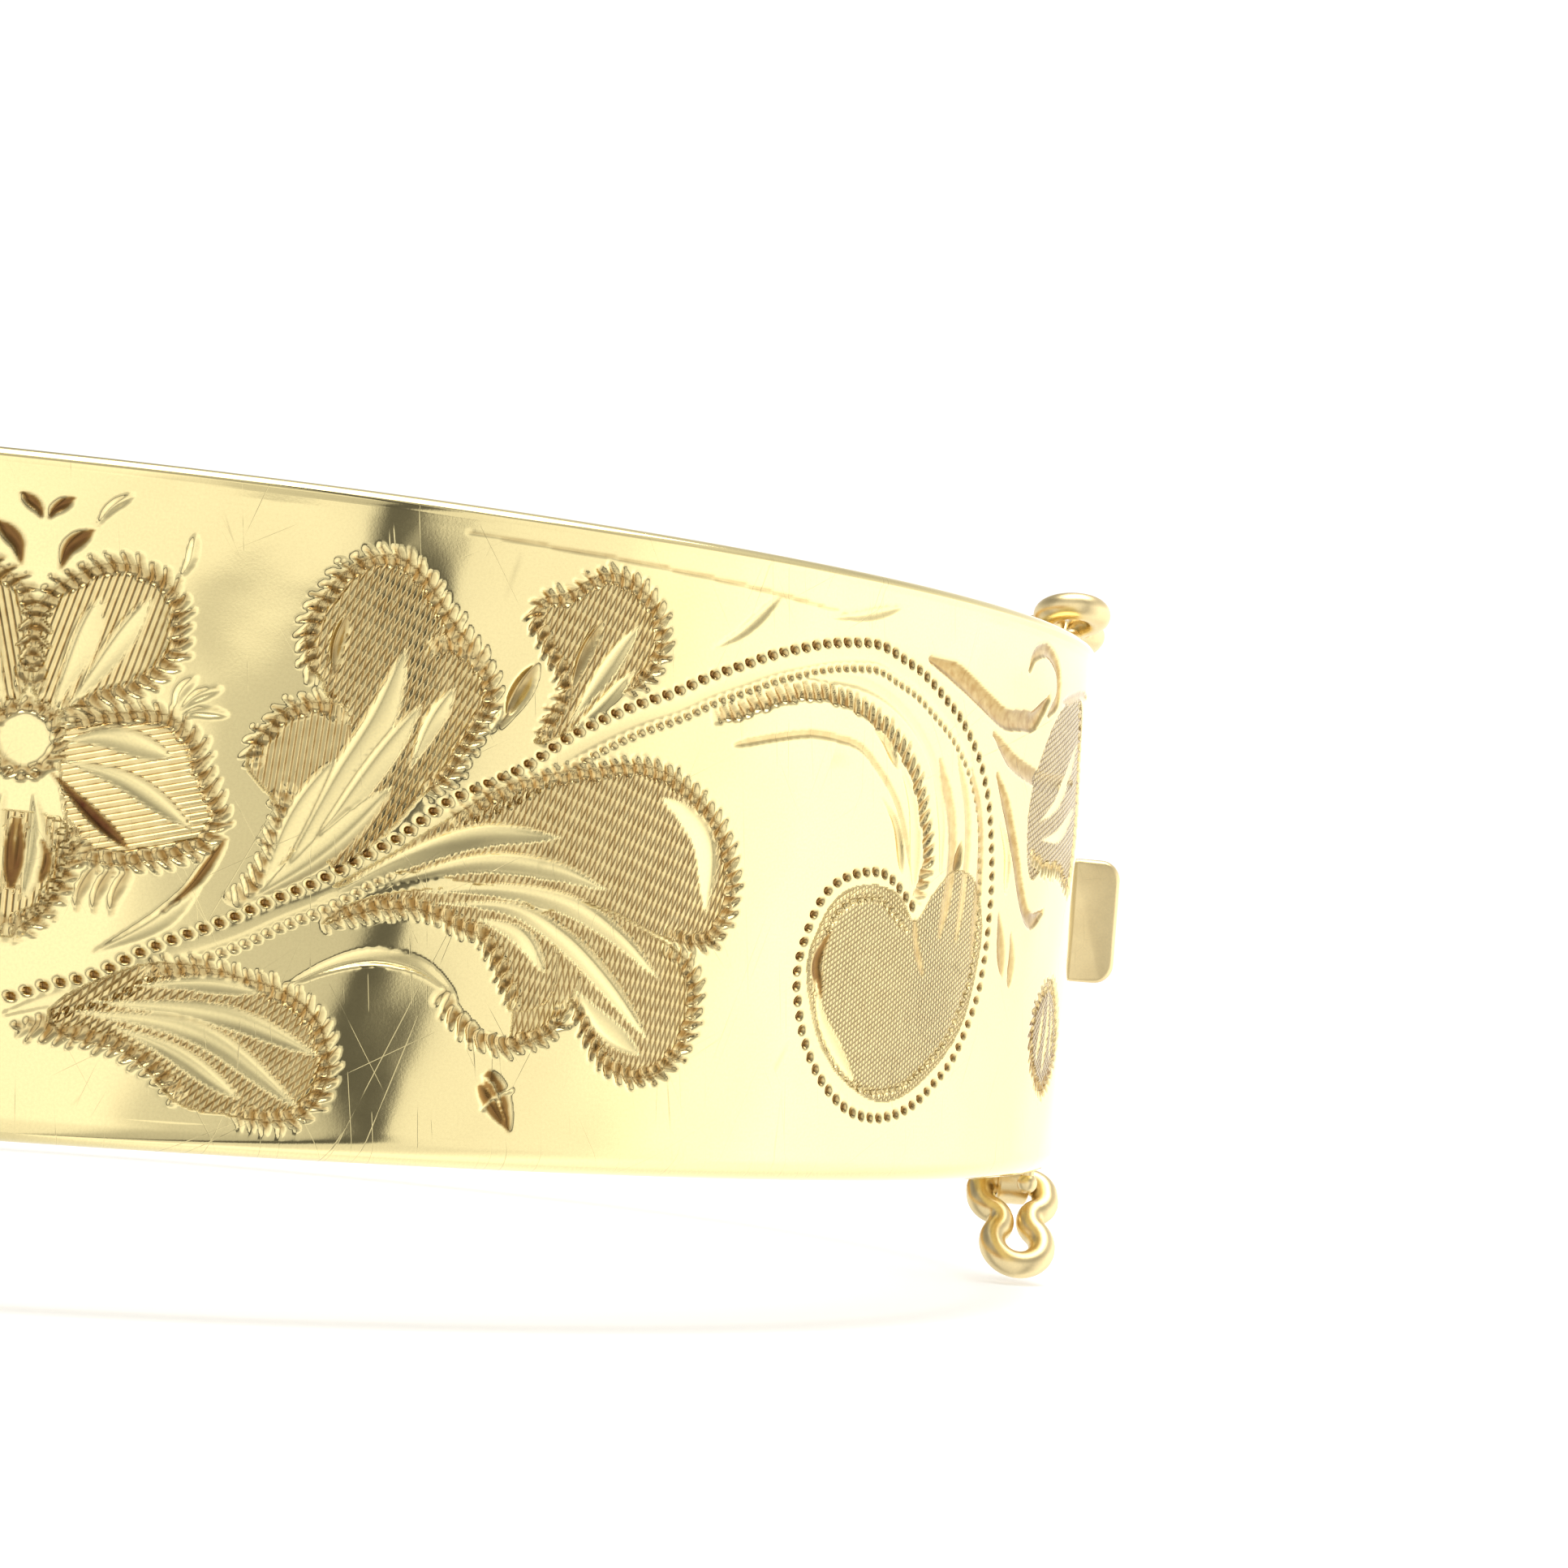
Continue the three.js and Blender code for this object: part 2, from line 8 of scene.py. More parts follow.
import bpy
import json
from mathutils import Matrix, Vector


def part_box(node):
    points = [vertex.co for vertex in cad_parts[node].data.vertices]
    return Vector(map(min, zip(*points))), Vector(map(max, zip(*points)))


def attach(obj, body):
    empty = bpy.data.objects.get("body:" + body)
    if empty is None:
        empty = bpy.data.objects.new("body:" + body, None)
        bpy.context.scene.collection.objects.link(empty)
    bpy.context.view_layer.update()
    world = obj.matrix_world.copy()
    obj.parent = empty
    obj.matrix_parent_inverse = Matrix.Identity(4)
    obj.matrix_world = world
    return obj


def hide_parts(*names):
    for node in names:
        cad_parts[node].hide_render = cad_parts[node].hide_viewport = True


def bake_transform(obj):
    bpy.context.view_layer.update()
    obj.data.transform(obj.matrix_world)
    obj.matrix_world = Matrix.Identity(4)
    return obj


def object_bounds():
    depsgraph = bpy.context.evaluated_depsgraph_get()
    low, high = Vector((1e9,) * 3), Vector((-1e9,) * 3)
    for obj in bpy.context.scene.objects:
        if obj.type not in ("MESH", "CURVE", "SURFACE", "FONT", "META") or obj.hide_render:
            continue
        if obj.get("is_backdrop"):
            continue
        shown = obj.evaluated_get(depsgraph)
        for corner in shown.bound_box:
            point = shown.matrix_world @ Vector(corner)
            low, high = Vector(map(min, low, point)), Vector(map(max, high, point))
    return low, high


bl_info = {
    "name": "Engraved Hinged Bangle",
    "version": (1, 0, 0),
    "blender": (4, 5, 0),
    "location": "View3D > Sidebar > Bangle",
    "description": "Builds the engraved shell, hinge, clasp and safety catches of a gold bangle",
    "category": "Object",
}

import json
import math

import bmesh
import bpy
import numpy as np
from bpy.props import FloatProperty, FloatVectorProperty, IntProperty, PointerProperty
from mathutils import Matrix, Vector

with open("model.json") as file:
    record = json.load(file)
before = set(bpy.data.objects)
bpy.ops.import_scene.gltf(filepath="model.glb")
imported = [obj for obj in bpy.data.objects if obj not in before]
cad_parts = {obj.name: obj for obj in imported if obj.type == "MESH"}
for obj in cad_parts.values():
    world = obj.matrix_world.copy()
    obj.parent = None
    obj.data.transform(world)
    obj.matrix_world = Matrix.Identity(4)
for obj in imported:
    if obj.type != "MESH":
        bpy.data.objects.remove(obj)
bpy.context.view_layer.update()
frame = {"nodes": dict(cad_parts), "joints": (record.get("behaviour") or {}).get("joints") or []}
JOINTS = {joint["name"]: joint for joint in frame["joints"]}
MM = 0.001

# Depths below the outer face where the turned-in edges have rows of points
EDGE_DEPTHS = (2.1, 1.7, 1.43, 1.3, 1.1, 0.9)
INSIDE_EDGE_DEPTH = 0.65
# The notch for the thumbpiece: its lower and upper side, and how far it runs back from the seam
NOTCH = (-2.5, 2.0)
NOTCH_LENGTH = 1.85
# Length over which the end of a shell bends round the cleared hinge
HINGE_EASE = 3.0
# Spacing of the rows of points along the plain back shell and the liners
PLAIN_STEP = 0.3
KNUCKLE_BORE = 0.48
KNUCKLE_RADIUS = 1.0
PIN_RADIUS = 0.42
RIVET_ROUNDING = 0.3
RIVET_HEIGHT = 0.34
# Faces of the folded strip, outward from the outer face of the band, and places along it
BASE_BOTTOM = -1.87
BASE_TOP = -1.57
SPRING_BOTTOM = -1.51
SPRING_TOP = -1.26
FOLD_AT = -4.08
TAIL_AT = -0.5
TAIL_TOP = -0.745
TAIL_THICKNESS = 0.25
TONGUE_ROOT_AT = 3.0
# The thumb plate: how far it stands out, its corners, middle, place and soft rim
THUMB_REACH = 1.6
THUMB_CORNER = 0.62
THUMB_MIDDLE = -0.25
THUMB_AT = -0.75
THUMB_RIM = 0.16
# Room round the tubes and balls inside a wire catch, and its swing from closed, in degrees
TUBE_ROOM = 0.05
BEND_ROOM = 0.09
CATCH_SWING = {"upper": 12.5, "lower": 45.0}
PEG_NECK = 0.2


# Settings


def length(name, description, default, lowest=0.0):
    return FloatProperty(
        name=name,
        description=description,
        default=default * MM,
        min=lowest,
        unit="LENGTH",
        precision=5,
    )


def tint(name, description, default):
    return FloatVectorProperty(
        name=name,
        description=description,
        default=default,
        size=3,
        min=0.0,
        max=1.0,
        subtype="COLOR",
    )


class BangleBandSettings(bpy.types.PropertyGroup):
    oval_x: length("Half length", "Outer half-length of the oval, towards the clasp", 32)
    oval_y: length("Half depth", "Outer half-length of the oval, towards the front", 27)
    width: length("Width", "Height of the band along the wrist", 16)
    wall: length("Wall", "Outer face to inner face", 2.6)
    skin: length("Skin", "Sheet of the outer shells", 0.4)
    liner: length("Liner", "Sheet of the inner liners", 0.35)
    edge_radius: length("Lower edge radius", "Rounding at the lower edge", 0.75)
    upper_radius: length("Upper edge radius", "Tighter rounding at the upper edge", 0.34)
    solder: length("Solder gap", "Gap that stands for a soldered joint", 0.05)
    seam_shift: length("Seam shift", "Seam in front of the tip of the oval", 2.1)
    seam_gap: length("Seam gap", "Slit between the closed halves", 0.2)
    hinge_gap: length("Hinge gap", "Slit between the halves at the hinge", 0.3)
    relief: length("Hinge relief", "Radius cleared round the hinge pin", 1.08)
    pin_inset: length("Pin inset", "Pin axis inside the outer face", 0.35)


class BangleEngravingSettings(bpy.types.PropertyGroup):
    pitch: length("Grid", "Spacing of the points of the engraved face", 0.05)
    flower_s: length("Flower place", "Middle flower, from the front middle", -1.05, -0.01)
    bright_depth: length("Bright-cut depth", "Depth of the widest bright cuts", 0.085)
    tooth_pitch: length("Tooth pitch", "Spacing of the wriggle cuts round each leaf", 0.32)
    tooth_width: length("Tooth width", "Width of the border of wriggle cuts", 0.52)
    tooth_depth: length("Tooth depth", "Depth of the wriggle cuts", 0.13)
    bead_pitch: length("Bead pitch", "Spacing of the punched beads", 0.39)
    bead_radius: length("Bead radius", "Radius of the punched beads", 0.13)
    bead_depth: length("Bead depth", "Depth of the punched beads", 0.14)
    hatch_pitch: length("Hatch pitch", "Spacing of the fine liner cuts", 0.15)


class BangleClaspSettings(bpy.types.PropertyGroup):
    wire_radius: length("Wire radius", "Wire of the safety catches", 0.43)
    ball_radius: length("Ball radius", "Ball of each peg", 0.32)
    catch_length: length("Catch length", "Pivot to the centre of the far loop", 2.6)
    tube_length: length("Tube length", "Length of each pivot tube", 1)
    tube_radius: length("Tube radius", "Outside of each pivot tube", 0.75)
    tube_bore: length("Tube bore", "Inside of each pivot tube", 0.49)
    thumb_height: length("Thumbpiece height", "Across the width of the band", 3.9)
    thumb_thickness: length("Thumbpiece thickness", "Along the band", 0.8)
    tongue_half_width: length("Tongue half width", "Half the width of the leaves", 3.6)


class BangleGoldSettings(bpy.types.PropertyGroup):
    engraved: tint("Engraved gold", "Outer face of the front half", (0.985, 0.83, 0.415))
    polished: tint("Polished gold", "Outer face of the back half", (0.985, 0.83, 0.415))
    inner: tint("Inner gold", "Satin inside of the band", (0.93, 0.71, 0.34))
    clasp: tint("Clasp gold", "Catches, tongue and thumbpiece", (0.93, 0.75, 0.4))
    # These two colours tint the cuts: partly real patina, partly painted shade on the steep sides
    # and flanks of the cuts and a painted dark reflection in the dark-filled cuts.
    grime_and_shade: tint("Grime", "Dark red-brown in the deepest cuts", (0.09, 0.02, 0.012))
    tarnish: tint("Tarnish", "Colour of dirt and tarnish in the cuts", (0.36, 0.21, 0.06))
    roughness: FloatProperty(
        name="Polish roughness",
        description="Roughness of the mirror polish",
        default=0.055,
        min=0.0,
        max=1.0,
        subtype="FACTOR",
    )


class BangleStageSettings(bpy.types.PropertyGroup):
    floor: tint("Floor", "Colour of the floor", (0.93, 0.93, 0.92))
    room_strength: FloatProperty(
        name="Room strength", description="Brightness of the white room", default=1.0, min=0.0
    )
    lamp_power: FloatProperty(
        name="Lamp power",
        description="Power of the soft overhead lamp",
        default=1.3,
        min=0.0,
        unit="POWER",
    )
    lens: FloatProperty(
        name="Lens", description="Focal length of the camera", default=78.49, min=1.0, unit="CAMERA"
    )
    segments: IntProperty(
        name="Round segments", description="Facets round small turned parts", default=64, min=12
    )


class BangleSettings(bpy.types.PropertyGroup):
    band: PointerProperty(type=BangleBandSettings)
    engraving: PointerProperty(type=BangleEngravingSettings)
    clasp: PointerProperty(type=BangleClaspSettings)
    gold: PointerProperty(type=BangleGoldSettings)
    stage: PointerProperty(type=BangleStageSettings)


def settings():
    return bpy.context.scene.bangle


def mm(value):
    return value / MM


# Band geometry


class Band:
    """The oval and the sections of the band."""

    def __init__(self):
        band = settings().band
        self.half_x = mm(band.oval_x)
        self.half_y = mm(band.oval_y)
        self.half_width = mm(band.width) / 2
        self.wall = mm(band.wall)
        self.skin = mm(band.skin)
        self.liner = mm(band.liner)
        self.edges = (mm(band.edge_radius), mm(band.upper_radius))
        self.solder = mm(band.solder)
        self.relief = mm(band.relief)
        self.pin_inset = mm(band.pin_inset)
        self.turn = np.linspace(-math.pi, 2 * math.pi, 30001)
        speed = np.hypot(self.half_x * np.cos(self.turn), self.half_y * np.sin(self.turn))
        steps = (speed[1:] + speed[:-1]) / 2 * np.diff(self.turn)
        run = np.concatenate([[0.0], np.cumsum(steps)])
        self.run = run - np.interp(0.0, self.turn, run)
        self.tip = float(np.interp(math.pi / 2, self.turn, self.run))
        self.seam = self.tip - mm(band.seam_shift)
        self.front = (
            -self.tip + mm(band.hinge_gap) / 2,
            self.seam - mm(band.seam_gap) / 2,
        )
        self.back = (
            self.seam + mm(band.seam_gap) / 2,
            3 * self.tip - mm(band.hinge_gap) / 2,
        )

    def outward(self, s):
        turn = np.interp(s, self.run, self.turn)
        x = self.half_x * np.sin(turn)
        y = -self.half_y * np.cos(turn)
        normal = np.stack([x / self.half_x**2, y / self.half_y**2], -1)
        return np.stack([x, y], -1), normal / np.linalg.norm(normal, axis=-1, keepdims=True)

    def place(self, s, depth, z):
        point, normal = self.outward(s)
        flat = point - normal * np.asarray(depth)[..., None]
        return np.concatenate([flat, np.broadcast_to(z, flat.shape[:-1])[..., None]], -1)

    def hinge_start(self, depth):
        """How far the cleared barrel of the hinge pushes back the end of the band at a depth."""
        reach = self.relief**2 - (np.asarray(depth) - self.pin_inset) ** 2
        cleared = np.sqrt(np.maximum(reach, 0.0))
        return np.maximum(cleared - mm(settings().band.hinge_gap) / 2, 0.0)

    def clasp_matrix(self):
        """Frame of the clasp: x outward, y along the band towards the back, z along the wrist."""
        point, normal = self.outward(self.seam)
        turn = math.atan2(normal[1], normal[0])
        return Matrix.Translation((*point, 0.0)) @ Matrix.Rotation(turn, 4, "Z")


def arc(centre, radius, start, end, steps):
    angles = np.radians(np.linspace(start, end, steps + 1))
    return [(centre[0] + radius * math.cos(a), centre[1] + radius * math.sin(a)) for a in angles]


def shell_outline(band, face_z, notch):
    """Channel section as (depth, z) points, and the index of the first point of each part."""
    half, inner = band.half_width, band.half_width - band.skin
    falls = [band.wall, *EDGE_DEPTHS]
    quarter = np.linspace(0, math.pi / 2, 9)
    below, over = [
        [(edge * (1 - math.sin(a)), half - edge * (1 - math.cos(a))) for a in quarter]
        for edge in band.edges
    ]
    lower = [(fall, -half) for fall in falls] + [(d, -z) for d, z in below][:-1]
    upper = over[::-1][1:] + [(fall, half) for fall in falls[::-1]]
    flange = [*falls, INSIDE_EDGE_DEPTH]
    inside = [(d, inner) for d in flange] + [(band.skin, inner)]
    inside += [(band.skin, notch[1]), (band.skin, notch[0])]
    inside += [(band.skin, -inner)] + [(d, -inner) for d in flange[::-1]]
    face = [(0.0, z) for z in face_z]
    outline = np.array(lower + face + upper + inside)
    return outline, len(lower), len(lower) + len(face), len(lower) + len(face) + len(upper)


def new_mesh(name, points, quads, rings=()):
    """A mesh object from points in millimetres, an array of quads and a list of larger faces."""
    mesh = bpy.data.meshes.new(name)
    mesh.vertices.add(len(points))
    mesh.vertices.foreach_set("co", (np.asarray(points, float) * MM).ravel())
    parts = [np.asarray(quads, np.int32).ravel()] + [np.asarray(r, np.int32) for r in rings]
    corners = np.concatenate(parts)
    sizes = np.concatenate([np.full(len(quads), 4), [len(r) for r in rings]]).astype(np.int32)
    mesh.loops.add(len(corners))
    mesh.loops.foreach_set("vertex_index", corners)
    mesh.polygons.add(len(sizes))
    starts = np.concatenate([[0], np.cumsum(sizes)[:-1]]).astype(np.int32)
    mesh.polygons.foreach_set("loop_start", starts)
    mesh.update(calc_edges=True)
    if mesh.validate():
        raise RuntimeError(f"{name} has faces that don't fit together")
    mesh.shade_smooth()
    piece = bpy.data.objects.new(name, mesh)
    bpy.context.scene.collection.objects.link(piece)
    return piece


def face_outward(piece):
    """Turns every face of a closed mesh outward."""
    work = bmesh.new()
    work.from_mesh(piece.data)
    bmesh.ops.recalc_face_normals(work, faces=work.faces)
    work.to_mesh(piece.data)
    work.free()
    return piece


def skin_rings(name, rings, looped, sharp=35.0):
    """A closed skin over rings of points. A looped skin meets itself, any other is capped."""
    count, around = rings.shape[:2]
    index = np.arange(count * around).reshape(count, around)
    near = index if looped else index[:-1]
    far = np.roll(index, -1, 0) if looped else index[1:]
    quads = np.stack([near, np.roll(near, -1, 1), np.roll(far, -1, 1), far], -1).reshape(-1, 4)
    caps = [] if looped else [index[0][::-1], index[-1]]
    piece = face_outward(new_mesh(name, rings.reshape(-1, 3), quads, caps))
    piece.data.set_sharp_from_angle(angle=math.radians(sharp))
    return piece


def turned(name, profile, looped):
    """A profile of (radius, height) points turned about Z: a looped profile leaves a bore."""
    count = settings().stage.segments
    angles = np.linspace(0, 2 * math.pi, count, endpoint=False)
    radius, height = np.array(profile, float).T
    if looped:
        rings = [np.stack([radius * math.cos(a), radius * math.sin(a), height], -1) for a in angles]
    else:
        circle = np.stack([np.cos(angles), np.sin(angles)], -1)
        rings = [np.column_stack([circle * r, np.full(count, h)]) for r, h in zip(radius, height)]
    return skin_rings(name, np.array(rings), looped)


def tube_profile(bore, radius, span, chamfer):
    half = span / 2
    return [
        (bore, -half + chamfer),
        (bore + chamfer, -half),
        (radius - chamfer, -half),
        (radius, -half + chamfer),
        (radius, half - chamfer),
        (radius - chamfer, half),
        (bore + chamfer, half),
        (bore, half - chamfer),
    ]


def run_along(line):
    """Distance of each point of a line from its first, along the line."""
    return np.concatenate([[0.0], np.cumsum(np.linalg.norm(np.diff(line, axis=0), axis=1))])


def line_at(line, run, at):
    """Points of a line at distances along it."""
    return np.stack([np.interp(at, run, line[:, 0]), np.interp(at, run, line[:, 1])], -1)


def smooth_path(points, step=0.08, closed=False):
    """A smooth line through given points, as evenly spaced points."""
    points = np.array(points, float)
    if closed:
        ring = np.vstack([points[-1:], points, points[:2]])
    else:
        first = 2 * points[0] - points[1]
        last = 2 * points[-1] - points[-2]
        ring = np.vstack([first, points, last])
    pieces = []
    t = np.linspace(0, 1, 16, endpoint=False)[:, None]
    for a, b, c, d in zip(ring[:-3], ring[1:-2], ring[2:-1], ring[3:]):
        square, cube = 2 * a - 5 * b + 4 * c - d, 3 * b - a - 3 * c + d
        pieces.append(0.5 * (2 * b + (c - a) * t + square * t**2 + cube * t**3))
    line = np.vstack(pieces + [ring[-2:-1]])
    run = run_along(line)
    count = max(int(math.ceil(run[-1] / step)), 2)
    return line_at(line, run, np.linspace(0, run[-1], count + 1))


def beside(path, distance):
    """The path moved sideways, to its left for a positive distance."""
    along = np.gradient(path, axis=0)
    along /= np.linalg.norm(along, axis=1, keepdims=True)
    return path + distance * np.stack([-along[:, 1], along[:, 0]], -1)


# Engraving


class Engraving:
    """Depth and marks of the engraving over an (s, z) sheet, cut stroke by stroke."""

    START = -8.0
    END = 44.4
    HALF = 7.45

    def __init__(self):
        sizes = settings().engraving
        self.pitch = mm(sizes.pitch)
        self.s = np.arange(self.START, self.END, self.pitch)
        self.z = np.arange(-self.HALF, self.HALF + self.pitch / 2, self.pitch)
        shape = (len(self.s), len(self.z))
        # The second sheet browns the cuts: real patina, and painted shade on their shaded sides.
        self.depth, self.tarnish, self.satin = np.zeros((3, *shape))
        self.line_a, self.line_b, self.mask_a, self.mask_b = np.zeros((4, *shape))

    def window(self, low, high):
        i = np.clip(np.searchsorted(self.s, [low[0], high[0]]), 0, len(self.s))
        j = np.clip(np.searchsorted(self.z, [low[1], high[1]]), 0, len(self.z))
        return slice(i[0], i[1]), slice(j[0], j[1])

    def trace(self, path, reach):
        """Window round a path, with the distance aside (left positive) and along it."""
        area = self.window(path.min(0) - reach, path.max(0) + reach)
        s, z = np.meshgrid(self.s[area[0]], self.z[area[1]], indexing="ij")
        near = np.full(s.shape, np.inf)
        aside = np.full(s.shape, np.inf)
        along = np.zeros(s.shape)
        run = 0.0
        i0, j0 = area[0].start, area[1].start
        for a, b in zip(path[:-1], path[1:]):
            step = b - a
            size = float(np.hypot(*step))
            if size == 0:
                continue
            local = self.window(np.minimum(a, b) - reach, np.maximum(a, b) + reach)
            part = (
                slice(local[0].start - i0, local[0].stop - i0),
                slice(local[1].start - j0, local[1].stop - j0),
            )
            ds, dz = s[part] - a[0], z[part] - a[1]
            share = np.clip((ds * step[0] + dz * step[1]) / size**2, 0, 1)
            gap = np.hypot(ds - share * step[0], dz - share * step[1])
            side = np.where(step[0] * dz - step[1] * ds >= 0, 1.0, -1.0)
            closer = gap < near[part]
            near[part] = np.where(closer, gap, near[part])
            aside[part] = np.where(closer, gap * side, aside[part])
            along[part] = np.where(closer, run + share * size, along[part])
            run += size
        return area, aside, along, run

    def cut(self, area, depth, tarnish, clear):
        """Sinks the sheet to a depth, marks it, and clears the hatching where clear is set."""
        deeper = (depth > 0.004) & (depth >= self.depth[area] - 0.01)
        self.depth[area] = np.maximum(self.depth[area], depth)
        self.tarnish[area] = np.where(deeper, tarnish, self.tarnish[area])
        self.satin[area] = np.where(deeper, 0.4, self.satin[area])
        self.mask_a[area] *= 1 - clear
        self.mask_b[area] *= 1 - clear

    def bright(self, points, width, lean=0.4, depth=None, fat=0.62, dark=0.0):
        """A bright cut: a broad slanted facet with one steep side, swelling from its start."""
        path = smooth_path(points)
        area, aside, along, run = self.trace(path, width)
        t = np.clip(along / run, 0, 1)
        power = math.log(0.5) / math.log(fat)
        half = width / 2 * np.sin(math.pi * t**power) ** 0.75
        across = np.clip(aside / np.maximum(half, 1e-4), -1, 1)
        near_side, far_side = (lean - across) / (1 + lean), (across - lean) / (1 - lean)
        valley = 1 - np.where(across < lean, near_side, far_side) ** 2
        inside = np.abs(aside) < half
        full = depth or mm(settings().engraving.bright_depth)
        sunk = np.where(inside, 0.015 + full * valley * (half / (width / 2)), 0)
        # A dark cut is browned down its valley, partly as patina and partly as a painted dark
        # reflection; any other cut gets painted shade along its steep side.
        if dark:
            shade = 2 * dark * np.clip(1.5 * valley, 0, 1)
        else:
            shade = 0.5 * np.clip((np.abs(across) - 0.72) / 0.28, 0, 1) * (across * lean > 0)
        self.depth[area] = np.where(inside, 0, self.depth[area])
        self.cut(area, sunk, shade, inside.astype(float))
        self.satin[area] = np.where(inside, 1.0, self.satin[area])

    def brights(self, lean, *cuts, **look):
        """Bright cuts of one lean and look, each as its width and then its points."""
        for width, *points in cuts:
            self.bright(points, width, lean, **look)

    def strip(self, points, width, depth=0.03, tarnish=0.1, clear=1.0, ends=0.35):
        """A shallow round-bottomed strip of even width with tapered ends."""
        path = smooth_path(points)
        area, aside, along, run = self.trace(path, width)
        taper = np.clip(np.minimum(along, run - along) / (ends * run / 2), 0.12, 1) ** 0.5
        inside = np.clip(1 - (aside / (width / 2 * taper)) ** 2, 0, 1)
        self.cut(area, depth * inside**0.5, tarnish, clear * (inside > 0))

    def teeth(self, points, middle, width=None, scale=1.0, tarnish=0.85):
        """A border of slanted wriggle cuts whose points face away from the middle of the leaf."""
        sizes = settings().engraving
        width = width or mm(sizes.tooth_width)
        pitch = mm(sizes.tooth_pitch) * scale
        path = smooth_path(points, 0.05)
        nearest = int(np.argmin(np.linalg.norm(path[:-1] - middle, axis=1)))
        step = path[nearest + 1] - path[nearest]
        gap = np.array(middle) - path[nearest]
        side = math.copysign(1.0, step[0] * gap[1] - step[1] * gap[0])
        area, aside, along, run = self.trace(path, width)
        place = along / pitch
        sway = 0.07 * np.sin(2.3 * np.floor(place) + 1.7 * points[0][0])
        out = np.clip((-aside * side + width / 2) / width + sway, -0.01, 1.01)
        turn = (place + 0.3 * out) % 1
        across = turn / np.clip((1.02 - out) / 0.66, 0.001, 1)
        tooth = across < 1
        fade = np.clip(np.minimum(along, run - along) / (2 * pitch), 0, 1) ** 0.5
        held = (out > 0) * (out < 1) * fade
        shape = np.clip(np.minimum(0.35 + across, (1 - across) / 0.2), 0, 1)
        shape = shape * np.clip(across / 0.12, 0, 1) * held
        sunk = mm(sizes.tooth_depth) * shape * (1 - 0.2 * out)
        ground = held * (out < 0.8)
        self.mask_a[area] *= 1 - 0.9 * ground
        self.mask_b[area] *= 1 - 0.9 * ground
        # Each tooth is browned: an even tint of patina in the pit, deepening to painted shade on
        # its shaded flank.
        brown = np.where(tooth, 0.6 + 0.9 * np.clip(1.1 - 1.6 * across, 0, 1), 0.0)
        self.cut(area, np.maximum(sunk, 0.012 * held * tooth), tarnish * brown * held, 0.0)

    def beads(self, points, scale=1.0, aside_by=0.0, tarnish=1.6):
        """A row of punched beads."""
        sizes = settings().engraving
        pitch = mm(sizes.bead_pitch) * scale
        radius = mm(sizes.bead_radius) * scale
        path = smooth_path(points, 0.05)
        if aside_by:
            path = beside(path, aside_by)
        area, aside, along, _ = self.trace(path, 2 * radius)
        back = ((along / pitch) % 1 - 0.5) * pitch
        lean = aside + 0.35 * back
        pit = np.clip(1 - (back / radius) ** 2 - (lean / radius) ** 2, 0, 1)
        depth = mm(sizes.bead_depth) * scale * pit**0.6
        self.cut(area, depth, tarnish * pit**0.5, (pit > 0).astype(float))

    def inside(self, border):
        """Window round a closed border and the points of the sheet inside it."""
        border = np.asarray(border)
        area = self.window(border.min(0) - 0.1, border.max(0) + 0.1)
        s, z = np.meshgrid(self.s[area[0]], self.z[area[1]], indexing="ij")
        held = np.zeros(s.shape, bool)
        for a, b in zip(border, np.roll(border, -1, 0)):
            if a[1] == b[1]:
                continue
            crosses = (a[1] > z) != (b[1] > z)
            held ^= crosses & (s < a[0] + (z - a[1]) * (b[0] - a[0]) / (b[1] - a[1]))
        return area, s, z, held

    def hatch(
        self, points, lean_a, lean_b=None, sunk=0.018, tarnish=0.38, scale=1.0, strength=1.0
    ):
        """Fills a leaf with one or two families of fine lines at the given angles."""
        area, s, z, held = self.inside(smooth_path(points, 0.15, closed=True))
        pitch = mm(settings().engraving.hatch_pitch) * scale
        self.depth[area] = np.where(held, np.maximum(self.depth[area], sunk), self.depth[area])
        self.tarnish[area] = np.where(held, tarnish, self.tarnish[area])
        families = ((lean_a, self.line_a, self.mask_a), (lean_b, self.line_b, self.mask_b))
        for lean, line, mask in families:
            if lean is None:
                mask[area] = np.where(held, 0, mask[area])
                continue
            angle = math.radians(lean)
            across = (z * math.cos(angle) - s * math.sin(angle)) / pitch
            line[area] = np.where(held, across, line[area])
            mask[area] = np.where(held, strength, mask[area])

    def soften(self):
        """Rounds the cuts by a little less than one step of the sheet."""
        for sheet in (self.depth, self.tarnish, self.satin, self.mask_a, self.mask_b):
            sheet[1:-1] = 0.1 * (sheet[:-2] + sheet[2:]) + 0.8 * sheet[1:-1]
            sheet[:, 1:-1] = 0.1 * (sheet[:, :-2] + sheet[:, 2:]) + 0.8 * sheet[:, 1:-1]

    def look_up(self, sheet, s, z):
        """Values of a sheet at points between its own."""
        i = np.clip((s - self.s[0]) / self.pitch, 0, len(self.s) - 1.001)
        j = np.clip((z - self.z[0]) / self.pitch, 0, len(self.z) - 1.001)
        i0, j0 = i.astype(int), j.astype(int)
        u, v = i - i0, j - j0
        low = sheet[i0, j0] * (1 - u) + sheet[i0 + 1, j0] * u
        high = sheet[i0, j0 + 1] * (1 - u) + sheet[i0 + 1, j0 + 1] * u
        return low * (1 - v) + high * v


